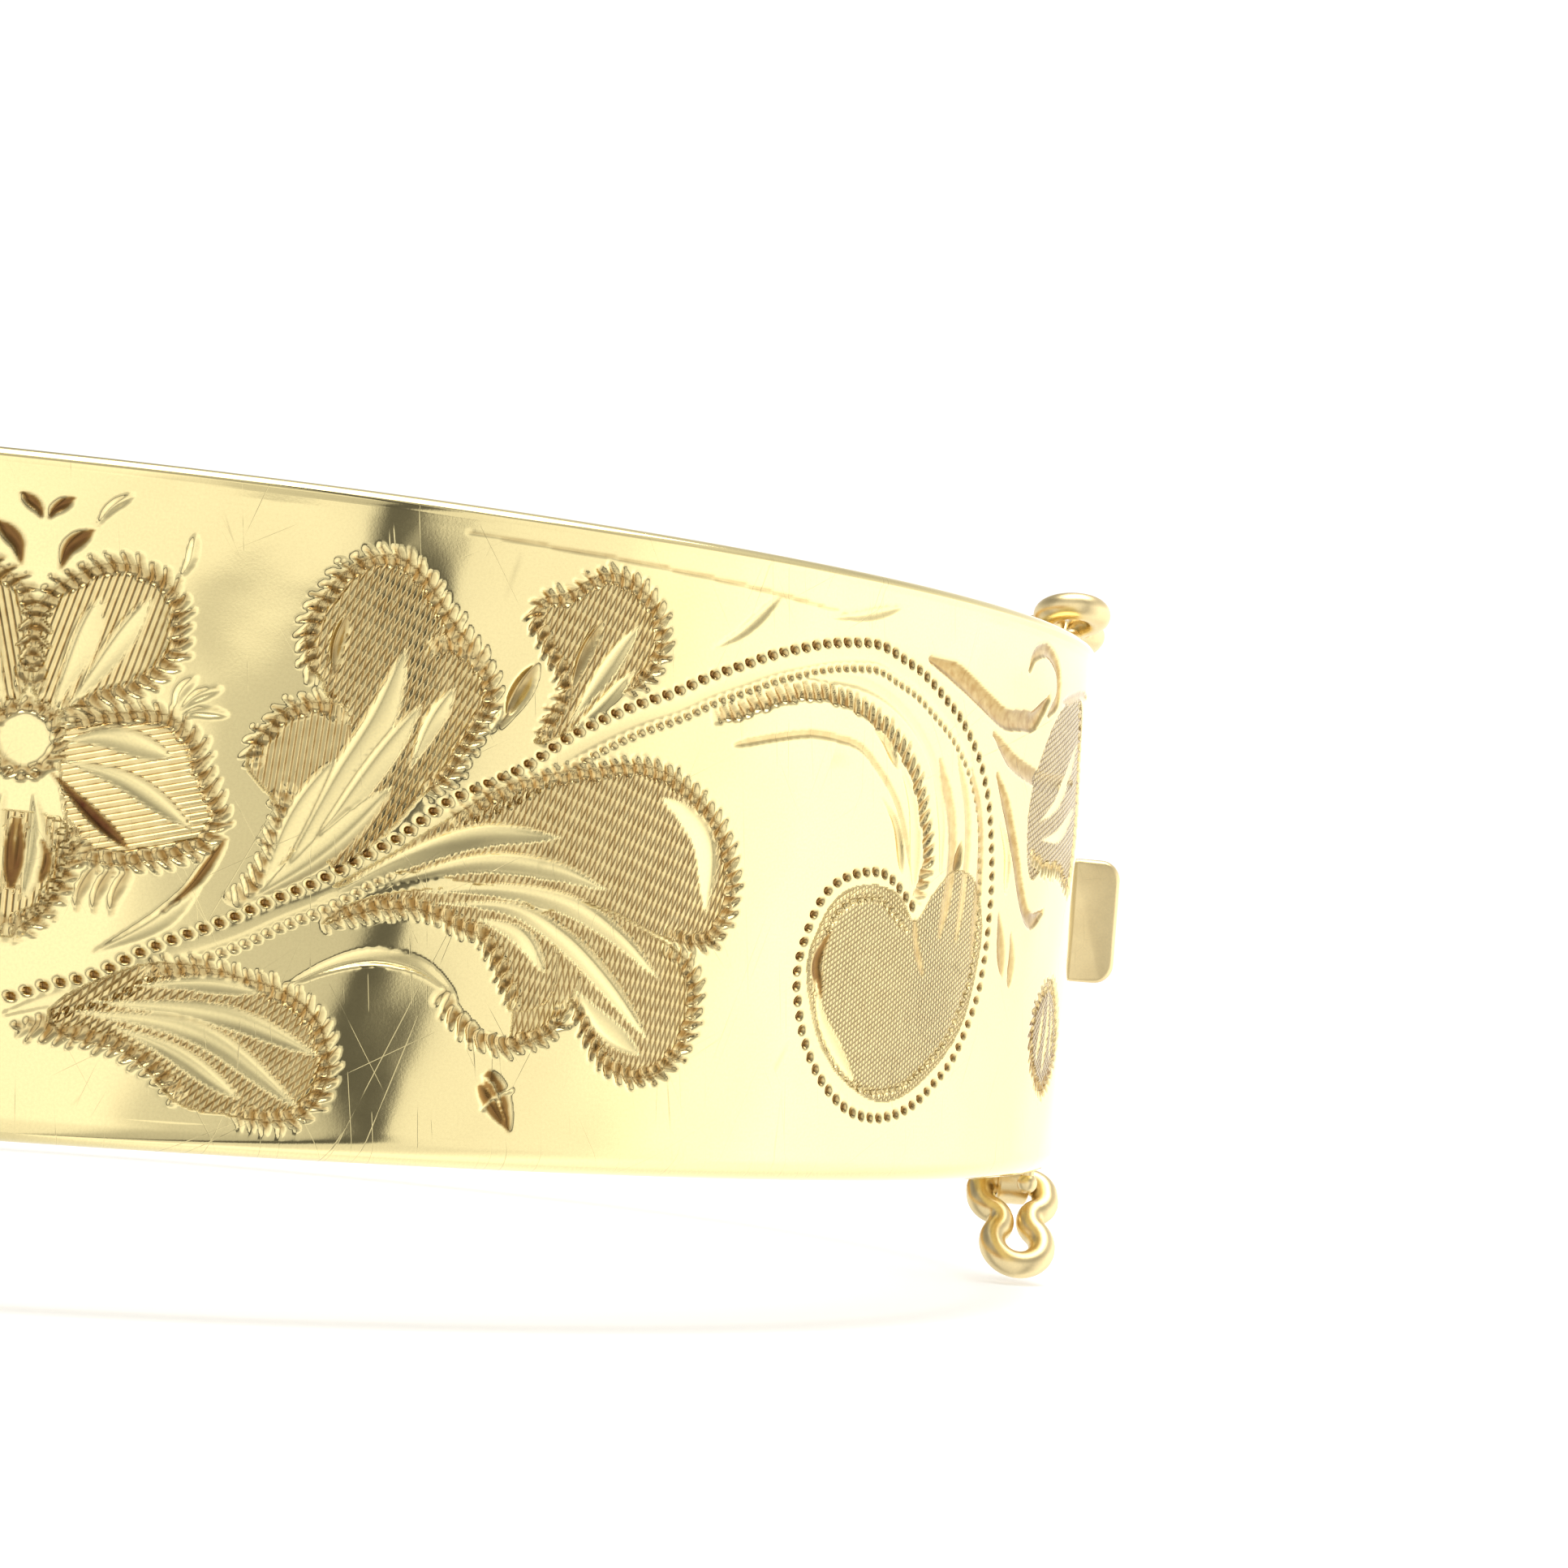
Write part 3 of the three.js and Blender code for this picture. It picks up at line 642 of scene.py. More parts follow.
def flower(e):
    upper = [(-0.9, 2.3), (-1.2, 3.8), (-0.9, 4.6), (-0.2, 5.2), (0.8, 5.6), (2.05, 5.1),
             (2.3, 3.8), (2.0, 3.2), (1.3, 2.6), (-0.4, 1.9)]
    right = [(-0.3, 1.9), (1, 2.1), (2, 2.2), (2.8, 1.7), (3.2, 0.8), (3.6, 0), (3.3, -0.8),
             (2, -1.3), (0.8, -1.4), (0.2, -1)]
    lower = [(0.1, -0.5), (0.3, -1.5), (-0.2, -2.6), (-0.9, -3.3), (-1.9, -2.6), (-2.3, -1.5),
             (-2.1, -0.5)]
    for petal, lean in ((upper, 75), (right, 15), (lower, 90)):
        e.hatch(petal, lean)
    e.teeth(upper, (0.4, 3.6))
    e.teeth(right, (1.6, 0.4))
    for side in (lower[:4], lower[3:]):
        e.teeth(side, (-1.05, -1.6))
    e.brights(
        0.5,
        (0.62, (-0.5, 2.0), (0.0, 3.4), (0.35, 4.7)),
        (0.55, (-0.2, 2.0), (0.7, 3.4), (1.5, 4.8)),
        (0.6, (-0.2, 1.3), (0.9, 1.5), (2.3, 1.2)),
        (0.5, (-0.2, 0.9), (1.4, 0.5), (2.9, -0.4)),
    )
    e.brights(0.3, (0.34, (-0.4, 0.6), (0.6, -0.3), (1.5, -1.0)), dark=0.9)
    e.brights(0.4, (0.5, (-0.75, 0.2), (-0.55, -1.0), (-0.7, -2.4)))
    e.brights(0.2, (0.34, (-1.0, -0.5), (-0.95, -1.2), (-1.05, -2.2)), dark=0.8)
    e.brights(0.2, (0.26, (-0.5, -0.9), (-0.3, -1.4), (-0.42, -2.0)), dark=0.75)
    e.brights(
        0.3,
        (0.3, (-1.0, 6.35), (-0.85, 6.65), (-0.45, 6.95)),
        (0.4, (-0.6, 5.25), (-0.45, 5.8), (0.05, 6.25)),
        dark=0.8,
    )
    for s, z in ((3.5, 2.3), (3.3, 2.9), (2.7, 3.1)):
        e.bright([(2.3, 2.1), ((2.3 + s) / 2 - 0.1, (2.1 + z) / 2 + 0.1), (s, z)], 0.24)
    for s in (0.5, 0.9, 1.3):
        e.bright([(s, -2.6), (s + 0.02, -2.1), (s + 0.3, -1.5)], 0.3, 0.3, dark=0.3)
    e.brights(0.5, (0.42, (0.9, -3.5), (2.4, -2.6), (3.3, -1.5)))
    e.brights(0.3, (0.26, (2.4, -2.45), (3.1, -1.7), (3.75, -0.6)), dark=0.7)
    e.brights(
        0.4,
        (0.2, (0.1, 6.3), (0.4, 6.8), (0.9, 7.2)),
        (0.2, (2.1, 5.3), (2.35, 5.8), (2.4, 6.4)),
    )
    eye = (-1.05, 1.3)
    ring = arc(eye, 0.8, 0, 360, 12)
    e.teeth(ring, eye, width=0.4)
    dome, s, z, _ = e.inside(ring)
    away = np.hypot(s - eye[0], z - eye[1])
    e.depth[dome] = np.where(away < 0.62, 0.02, e.depth[dome])
    e.tarnish[dome] = np.where(away < 0.62, 0.05, e.tarnish[dome])
    e.mask_a[dome] = np.where(away < 0.8, 0, e.mask_a[dome])


STEM = [(-1, -4.7), (0, -4.3), (1, -4), (2, -3.4), (3, -2.9), (4, -2.45), (5, -1.9), (6, -1.4),
        (7, -0.75), (8, -0.1), (9, 0.75), (10, 1.3), (11, 1.85), (12, 2.6), (13, 3.2), (14, 3.7),
        (15, 4.1), (16, 4.6), (17, 5), (18, 5.4), (19, 5.7), (20, 5.95), (21, 6.1), (22, 6.15),
        (23, 5.9), (24, 5.6), (25, 5.1), (26, 4.55), (27, 3.7), (27.8, 2.5), (28.2, 1.3),
        (28.4, 0.2), (28.4, -1), (28.3, -2), (28, -3), (27, -4.5), (26, -5.3), (25, -5.9),
        (24, -6.2), (23, -6.25), (22, -6), (21, -5.3), (20.3, -4.4), (19.95, -3.5), (19.8, -2.6),
        (20, -1.7), (20.4, -0.8), (21, -0.2), (22, 0.15), (23, 0.15), (24, -0.4), (24.4, -0.7)]


def stem(e):
    path = smooth_path(STEM, 0.05)
    inner = beside(path, -0.34)
    e.strip(inner[::8], 0.42, depth=0.035, tarnish=0.04, ends=0.05)
    e.beads(STEM)
    e.beads(STEM, scale=0.75, aside_by=-0.68, tarnish=1.0)


def upper_leaves(e):
    lobe = [(4.1, 1.1), (4.2, 1.7), (4.6, 2.3), (5.1, 2.7), (5.8, 2.85), (6.4, 2.6)]
    crown = [(5.7, 3.3), (5.3, 3.7), (5.2, 4.6), (5.5, 5.3), (6, 6), (6.6, 6.4), (7.3, 6.5),
             (8, 6.1), (8.4, 5.6), (8.9, 5), (9.5, 4.4), (9.9, 3.8), (10, 3.2), (9.7, 2.6),
             (9.4, 2), (9, 1.3), (8.4, 0.9)]
    left = [(5, 0.9), (4.9, -0.2), (4.6, -1.2), (4, -2.1)]
    e.hatch(crown + [(7.5, -0.2), (6.3, -1.0), (6.0, 0.6), (6.1, 2.0)], 82, 58)
    e.hatch(lobe + [(6.4, 1.0), (5.6, -0.4), (4.9, -1.2), (4.9, 0.2)], 86)
    e.teeth(lobe, (5.3, 1.2))
    e.teeth(crown, (7.6, 3.3))
    e.teeth(left, (6, -0.6))
    e.teeth([(8.1, 4.5), (9, 4.6), (9.8, 4.1)], (8.8, 3.4))
    e.brights(
        0.5,
        (0.62, (4.6, -1.9), (5.3, -0.1), (6.15, 1.5)),
        (0.78, (5.0, -1.6), (6.3, 0.9), (7.2, 2.6), (7.65, 4.3)),
        (0.62, (5.4, -1.3), (6.9, 1.0), (8.15, 3.0)),
    )
    e.brights(-0.3, (0.66, (4.2, -2.15), (5.9, -0.8), (7.6, 1.0)))
    e.brights(0.4, (0.5, (8.0, 1.4), (8.4, 2.4), (8.95, 3.5)))
    e.brights(0.2, (0.36, (6.0, 3.3), (5.95, 4.1), (6.15, 5.0)), depth=0.2, dark=0.36)
    small = [(11.2, 2.4), (11.6, 3.3), (11.8, 3.9), (11.3, 4.7), (10.9, 5.3), (11, 5.9),
             (11.8, 6.2), (12.5, 6.7), (13.2, 6.8), (13.9, 6.5), (14.4, 6), (14.6, 5.2),
             (14.4, 4.6), (13.9, 4.1), (13.5, 3.9)]
    e.hatch(small + [(12.4, 3.0)], 84, 62)
    e.teeth(small, (12.7, 5.0))
    e.brights(0.3, (0.36, (12.0, 3.6), (12.3, 4.6), (12.75, 5.6)), depth=0.2, dark=0.36)
    e.brights(
        0.4,
        (0.5, (12.0, 2.9), (12.8, 4.1), (13.8, 5.6)),
        (0.36, (12.1, 2.8), (13.0, 3.6), (13.8, 4.5)),
    )
    e.brights(0.1, (0.5, (10.15, 2.6), (10.6, 3.5), (11.05, 4.35)), depth=0.25, dark=0.34)
    e.brights(0.4, (0.18, (9.9, 2.5), (10.2, 2.9), (10.35, 3.4)))
    e.brights(
        0.3,
        (0.3, (16, 5.3), (17, 5.9), (18.15, 6.95)),
        (0.3, (19.8, 6.6), (21.2, 6.85), (22.7, 7.25)),
        depth=0.05,
    )
    e.strip([(9, 7.3), (13, 7.2), (17, 7.05), (20.6, 6.8)], 0.1, depth=0.02, tarnish=0.5)


def large_leaf(e):
    outer = [(9, 0.3), (10.5, 1.3), (12, 1.8), (13, 2), (14, 2.2), (15, 2.1), (16, 1.6),
             (16.8, 0.9), (17.3, 0), (17.4, -0.9), (17.1, -1.7), (16.5, -2.1), (15.3, -2)]
    second = [(15.3, -2.1), (16.2, -2.6), (16.5, -3.5), (16.3, -4.5), (15.9, -5.1), (15.2, -5.5),
              (14.4, -5.5), (13.7, -5.1), (13.2, -4.4), (12.7, -3.6)]
    third = [(12.6, -3.7), (12.5, -4.4), (11.8, -4.8), (11, -5), (10.2, -4.8), (9.6, -4.3),
             (9.2, -3.8)]
    fourth = [(11.2, -4.1), (11, -3.6), (10.6, -2.9), (10.2, -2.4), (9.6, -2.2), (8.8, -1.9),
              (7.9, -1.9), (7, -2.1), (6.2, -2.4)]
    between = fourth[:3] + [(11.2, -2.1), (12.4, -2.0), (13, -3), (12.7, -3.9), (12.4, -4.5),
                            (11.8, -4.8), (11.3, -4.9)]
    e.hatch(outer + [(13.4, -1.4), (11, -1.2), (8, -1.0), (6.4, -1.5), (7.6, -0.7)], 86, 64)
    e.hatch(second + [(11, -2.2), (13, -1.4)], 96, 70)
    e.hatch(between, 100, 74)
    e.hatch(fourth + [(7.2, -1.7), (9, -1.3), (11, -1.3), (12.2, -2.3), (12.2, -3.7)], 92, 66)
    e.teeth(outer, (13, 0))
    e.teeth(second, (14.6, -3.6))
    e.teeth(third, (11.2, -3.3))
    e.teeth(fourth, (10.6, -1.9))
    e.brights(
        0.5,
        (0.6, (6, -1.9), (8, -0.75), (10, 0.05), (12.1, 0.2)),
        (0.56, (7.3, -1.4), (10, -0.62), (12, -0.62), (13.5, -0.95)),
        (0.56, (8.3, -1.45), (10.5, -1.22), (12.5, -1.42), (14, -2.1), (15.3, -3.05)),
        depth=0.13,
    )
    e.brights(
        0.5, (0.6, (9, -1.65), (11, -1.65), (12.5, -2.3), (13.8, -3.3), (15.1, -4.55)), depth=0.14
    )
    e.brights(0.5, (0.5, (10, -1.9), (11.3, -2.3), (12.0, -3.1)))
    e.brights(-0.3, (0.6, (12.8, -3.4), (13.8, -4.3), (14.9, -4.95)))
    e.brights(0.5, (0.75, (14.9, 1.45), (15.75, 1.05), (16.4, 0.3), (16.55, -1.3)), fat=0.5)


def knock(e):
    """An old knock below the large leaf, with two scratches over it."""
    e.brights(
        0.1,
        (0.62, (10.7, -5.55), (11.0, -6.2), (11.4, -7.0)),
        (0.4, (10.5, -5.9), (10.8, -6.3), (11.3, -6.9)),
        depth=0.09, fat=0.42, dark=0.72,
    )
    e.strip([(10.65, -6.5), (11.0, -6.2), (11.35, -6.0)], 0.1, depth=0.12)
    e.strip([(10.6, -5.7), (10.95, -5.95), (11.2, -6.5)], 0.1, depth=0.12)


def lower_leaf(e):
    top = [(2, -3.7), (3.5, -3.6), (4.5, -3.8), (5.4, -4), (6.2, -4.5), (6.6, -5.2), (6.7, -6),
           (6.3, -6.8), (5.5, -7.1), (4.4, -7)]
    low = [(-0.6, -5.4), (1, -5.5), (2, -5.8), (2.8, -6.3), (3.2, -6.8)]
    e.hatch(top + [(3.2, -6.8), (2, -5.8), (0.4, -5.4), (0.2, -4.7)], 75, 40)
    e.teeth(top, (4.4, -5.3))
    e.teeth(low, (2.4, -4.6))
    e.brights(
        0.5,
        (0.56, (1, -4.6), (4, -4.7), (6.35, -5.45)),
        (0.58, (0.5, -4.85), (3.5, -5.15), (6, -6.7)),
        (0.5, (1.5, -5.1), (3, -5.65), (4.6, -6.6)),
        (0.42, (2, -4.15), (3.6, -4.0), (4.9, -4.1)),
    )
    tendril = (0.4, (5.3, -4.0), (6.5, -3.35), (7.6, -3.05), (8.7, -3.2), (9.6, -3.75))
    e.brights(-0.3, tendril, depth=0.12, fat=0.6)


def curl(e):
    heart = [(20.2, -2.6), (20.5, -1.4), (21.2, -0.5), (22.4, -0.15), (23.6, -0.35), (24.4, -1.0),
             (25.2, -0.2), (26.2, 0.5), (27.3, 0.3), (27.9, -0.6), (28.0, -1.6), (27.3, -3.6),
             (25.8, -5.0), (24, -5.8), (22.3, -5.5), (20.9, -4.4)]
    frond = [(16.2, 3.7), (17, 3.9), (18, 4.3), (19, 4.6), (20, 4.7), (21, 4.6), (22, 4.3),
             (23, 3.8), (24, 2.9), (24.6, 1.8), (24.9, 0.8), (24.7, 0), (24.4, -0.5)]
    e.hatch(heart, 88, 30, sunk=0.01, tarnish=0.3, scale=0.8, strength=0.6)
    e.teeth(frond, (20.5, 2.0))
    e.strip(
        [(17, 3), (18.2, 3.3), (19.5, 3.55), (20.5, 3.55), (21.5, 3.4), (22.3, 2.9), (23, 2.3),
         (23.5, 1.6), (24.3, 0)],
        0.2, depth=0.05, tarnish=0.5, ends=0.1,
    )
    e.strip(
        [(19.4, 5.0), (21.4, 5.05), (23.2, 4.5), (24.6, 3.4), (25.3, 1.9), (25.5, 0.4)],
        0.34, depth=0.05, tarnish=0.08,
    )
    e.brights(-0.4, (0.5, (23.0, 3.4), (24.0, 1.9), (24.3, -0.25)))
    e.brights(
        0.3,
        (0.36, (21.9, 3.95), (22.6, 3.6), (23.1, 3.0)),
        (0.34, (22.5, 2.2), (23.3, 1.4), (23.65, 0.2)),
        dark=0.2,
    )
    e.brights(0.3, (0.42, (20.95, -1.4), (20.5, -2.3), (20.75, -3.2)), dark=0.7)
    e.brights(-0.4, (0.46, (20.5, -2.6), (20.9, -3.8), (22.3, -5.35)))
    for width, shade, *points in (
        (0.42, 0.6, (25.0, 3.4), (25.8, 1.9), (26.0, 0.3), (25.7, -1.3)),
        (0.3, 0.45, (25.9, 3.6), (26.6, 2.1), (26.8, 0.4), (26.6, -1.4)),
        (0.36, 0.6, (26.7, 3.3), (27.4, 1.9), (27.6, 0.3), (27.5, -1.8)),
        (0.22, 0.7, (24.4, -0.9), (24.6, -1.7), (25.0, -2.4)),
    ):
        e.strip(points, width, depth=0.04, tarnish=shade, clear=0.8)
    e.brights(0.0, (0.4, (26.15, 0.4), (26.35, 0.8), (26.4, 1.3)), depth=0.12, fat=0.5, dark=0.45)


def flourishes(e):
    for width, depth, shade, *points in (
        (0.6, 0.1, 0.85, (24.2, 6.05), (25.5, 5.8), (27, 5.3), (28.3, 4.9), (29.5, 4.95), (30.3, 5),
         (31, 5.4), (31.6, 5.8)),
        (0.4, 0.08, 0.8, (29.8, 6.4), (30.2, 6.9), (31.2, 7.1), (32.2, 6.7), (32.4, 5.9),
         (31.6, 5.3)),
        (0.5, 0.08, 0.8, (27.8, 4.4), (29, 3.8), (30.5, 3.5), (32, 3.4), (35, 3.6)),
        (0.5, 0.09, 0.85, (28.2, 3.3), (29, 2.4), (29.8, 1.2), (30.6, 0), (31.4, -0.6),
         (32.6, -0.3)),
    ):
        e.strip(points, width, depth=depth, tarnish=shade)
    e.brights(0.4, (0.46, (28.4, 2.2), (29.2, 1.2), (29.3, 0)))
    e.brights(0.2, (0.6, (28.9, -0.4), (29.3, -1.3), (29.6, -2.3)), dark=0.4)
    e.brights(0.2, (0.5, (29.9, -0.9), (30.2, -1.7), (30.1, -2.6)), dark=0.36)
    matted = [(31.2, 0.6), (33, 1.2), (35.6, 0.6), (36.2, 3.0), (35.6, 6.0), (33.0, 5.6),
              (31.4, 4.2), (30.6, 2.4)]
    rim = [(31.0, 1.2), (32.4, 0.9), (34.2, 0.9), (35.8, 0.5), (36.4, 2.6), (36.0, 4.6),
           (35.4, 6.1)]
    e.hatch(matted, 70, 20, sunk=0.02, tarnish=0.42, strength=0.8)
    e.teeth(rim, (33.4, 3.2))
    e.brights(
        0.4,
        (0.5, (31.6, 2.2), (33.4, 3.0), (35.4, 4.8)),
        (0.45, (31.8, 1.7), (33.8, 2.0), (35.7, 2.9)),
    )
    e.strip([(33, 5.8), (35, 6.2), (36.5, 6.3)], 0.3, depth=0.06, tarnish=0.7)
    small = [(34.1, -2.2), (35.2, -2.7), (35.8, -3.7), (35.4, -4.8), (34.2, -5.5), (33.0, -5.0),
             (32.4, -4.0), (32.8, -2.9)]
    e.hatch(small, 80, 35, sunk=0.03, tarnish=0.5)
    e.teeth(small + small[:1], (34.1, -3.9))
    e.brights(
        0.4,
        (0.45, (34.0, -2.4), (34.3, -3.6), (34.0, -5.0)),
        (0.36, (33.6, -2.8), (33.5, -3.7), (33.2, -4.6)),
        (0.36, (34.5, -2.8), (35.0, -3.7), (34.9, -4.6)),
    )


def engrave():
    """The whole engraving. A later motif cuts over an earlier one."""
    e = Engraving()
    for motif in (stem, lower_leaf, large_leaf, knock, upper_leaves, curl, flourishes, flower):
        motif(e)
    e.soften()
    return e


# Materials


def node(tree, kind, **values):
    """A node with its settings, and its inputs as plain values or as sockets to link."""
    made = tree.nodes.new(kind)
    for key, value in values.items():
        if key not in made.inputs.keys():
            setattr(made, key, value)
        elif isinstance(value, bpy.types.NodeSocket):
            tree.links.new(value, made.inputs[key])
        else:
            made.inputs[key].default_value = value
    return made


def maths(tree, operation, *values, clamp=False):
    """A Math node over sockets or plain numbers."""
    made = node(tree, "ShaderNodeMath", operation=operation, use_clamp=clamp)
    for slot, value in zip(made.inputs, values):
        if isinstance(value, (int, float)):
            slot.default_value = value
        else:
            tree.links.new(value, slot)
    return made.outputs[0]


def blend_colours(tree, factor, first, second, mode="MIX"):
    made = node(tree, "ShaderNodeMix", data_type="RGBA", blend_type=mode)
    pairs = ((made.inputs["Factor"], factor), (made.inputs[6], first), (made.inputs[7], second))
    for slot, value in pairs:
        if isinstance(value, bpy.types.NodeSocket):
            tree.links.new(value, slot)
        elif isinstance(value, (int, float)):
            slot.default_value = value
        else:
            slot.default_value = (*value, 1.0)
    return made.outputs[2]


def new_group(name, inputs, *outputs):
    """An empty shader node group with named sockets."""
    tree = bpy.data.node_groups.new(name, "ShaderNodeTree")
    for label, kind, default in inputs:
        socket = tree.interface.new_socket(label, in_out="INPUT", socket_type=kind)
        if default is not None:
            socket.default_value = default
    for label, kind in outputs:
        tree.interface.new_socket(label, in_out="OUTPUT", socket_type=kind)
    return tree, tree.nodes.new("NodeGroupInput").outputs, tree.nodes.new("NodeGroupOutput").inputs


def wear_group():
    """Fine scratches, haze and small dents of worn polished gold."""
    found = bpy.data.node_groups.get("Gold wear")
    if found:
        return found
    tree, given, made = new_group(
        "Gold wear",
        [
            ("Vector", "NodeSocketVector", None),
            ("Scratches", "NodeSocketFloat", 1.0),
            ("Haze", "NodeSocketFloat", 1.0),
        ],
        ("Height", "NodeSocketFloat"),
        ("Roughness", "NodeSocketFloat"),
        ("Shade", "NodeSocketFloat"),
    )
    place = given["Vector"]
    total = None
    for turn, stretch, scale, width in (
        (1.2, 22.0, 0.4, 0.003),
        (-1.0, 18.0, 0.5, 0.003),
        (1.7, 26.0, 0.9, 0.006),
        (0.5, 24.0, 0.45, 0.003),
    ):
        drawn_out = node(
            tree, "ShaderNodeMapping", vector_type="TEXTURE", Vector=place,
            Rotation=(0.0, 0.0, turn), Scale=(stretch, 1.0, 1.0),
        )
        cells = node(
            tree, "ShaderNodeTexVoronoi", feature="DISTANCE_TO_EDGE",
            Vector=drawn_out.outputs[0], Scale=scale, Randomness=1.0,
        )
        edge = maths(tree, "DIVIDE", cells.outputs["Distance"], width)
        line = maths(tree, "SUBTRACT", 1.0, edge, clamp=True)
        patches = node(
            tree, "ShaderNodeTexNoise", Vector=place, Scale=0.2 + 0.3 * scale, Detail=1.0
        )
        part = maths(tree, "SUBTRACT", patches.outputs["Fac"], 0.53)
        kept = maths(tree, "MULTIPLY", line, maths(tree, "MULTIPLY", part, 7.0, clamp=True))
        total = kept if total is None else maths(tree, "MAXIMUM", total, kept)
    scratches = maths(tree, "MULTIPLY", total, given["Scratches"])
    haze, grain, dents = (
        node(tree, "ShaderNodeTexNoise", Vector=place, **look).outputs["Fac"]
        for look in (
            {"Scale": 0.9, "Detail": 6.0, "Roughness": 0.65},
            {"Scale": 14.0, "Detail": 3.0, "Roughness": 0.6},
            {"Scale": 0.35, "Detail": 2.0},
        )
    )
    rolling = maths(tree, "MULTIPLY", dents, 0.8)
    grains = maths(tree, "MULTIPLY_ADD", grain, 0.03, rolling)
    tree.links.new(maths(tree, "MULTIPLY_ADD", scratches, -0.12, grains), made["Height"])
    cloud = maths(tree, "MULTIPLY", maths(tree, "MULTIPLY_ADD", haze, 0.1, -0.04), given["Haze"])
    tree.links.new(maths(tree, "MULTIPLY_ADD", scratches, 0.12, cloud), made["Roughness"])
    shade = maths(tree, "MULTIPLY_ADD", scratches, -0.3, 1.0)
    speck = maths(tree, "MULTIPLY_ADD", grain, 0.2, 0.9)
    tree.links.new(maths(tree, "MULTIPLY", shade, speck), made["Shade"])
    return tree


def liner_group():
    """One family of fine liner cuts from a running line count and a mask."""
    found = bpy.data.node_groups.get("Liner cuts")
    if found:
        return found
    tree, given, made = new_group(
        "Liner cuts",
        [
            ("Count", "NodeSocketFloat", 0.0),
            ("Mask", "NodeSocketFloat", 0.0),
            ("Width", "NodeSocketFloat", 0.55),
        ],
        ("Cut", "NodeSocketFloat"),
    )
    wave = maths(tree, "SUBTRACT", maths(tree, "FRACT", given["Count"]), 0.5)
    fold = maths(tree, "MULTIPLY", maths(tree, "ABSOLUTE", wave), 2.0)
    cut = maths(tree, "SUBTRACT", 1.0, maths(tree, "DIVIDE", fold, given["Width"]), clamp=True)
    tree.links.new(maths(tree, "MULTIPLY", cut, given["Mask"]), made["Cut"])
    return tree


def browned_gold_group():
    """Gold that turns brown where a mask is high, and dark red-brown where it passes 1. On the
    engraved face the mask holds painted shade as well as patina.
    """
    found = bpy.data.node_groups.get("Tarnished gold")
    if found:
        return found
    tree, given, made = new_group(
        "Tarnished gold",
        [
            ("Gold", "NodeSocketColor", (1, 0.8, 0.4, 1)),
            ("Tarnish", "NodeSocketColor", (0.3, 0.2, 0.1, 1)),
            ("Grime", "NodeSocketColor", (0.1, 0.02, 0.01, 1)),
            ("Mask", "NodeSocketFloat", 0.0),
            ("Shade", "NodeSocketFloat", 1.0),
            ("Vector", "NodeSocketVector", None),
        ],
        ("Color", "NodeSocketColor"),
    )
    spots = node(tree, "ShaderNodeTexNoise", Vector=given["Vector"], Scale=3.5, Detail=4.0)
    uneven = maths(tree, "MULTIPLY_ADD", spots.outputs["Fac"], 0.9, 0.5)
    brown = maths(tree, "MULTIPLY", given["Mask"], uneven, clamp=True)
    over = maths(tree, "SUBTRACT", given["Mask"], 1.0)
    deep = maths(tree, "MULTIPLY", over, uneven, clamp=True)
    mixed = blend_colours(tree, brown, given["Gold"], given["Tarnish"])
    mixed = blend_colours(tree, deep, mixed, given["Grime"])
    grey = tree.nodes.new("ShaderNodeCombineColor")
    for slot in grey.inputs:
        tree.links.new(given["Shade"], slot)
    tree.links.new(blend_colours(tree, 1.0, mixed, grey.outputs[0], "MULTIPLY"), made["Color"])
    return tree


def attribute_vector(tree, name):
    return node(tree, "ShaderNodeAttribute", attribute_name=name).outputs["Vector"]


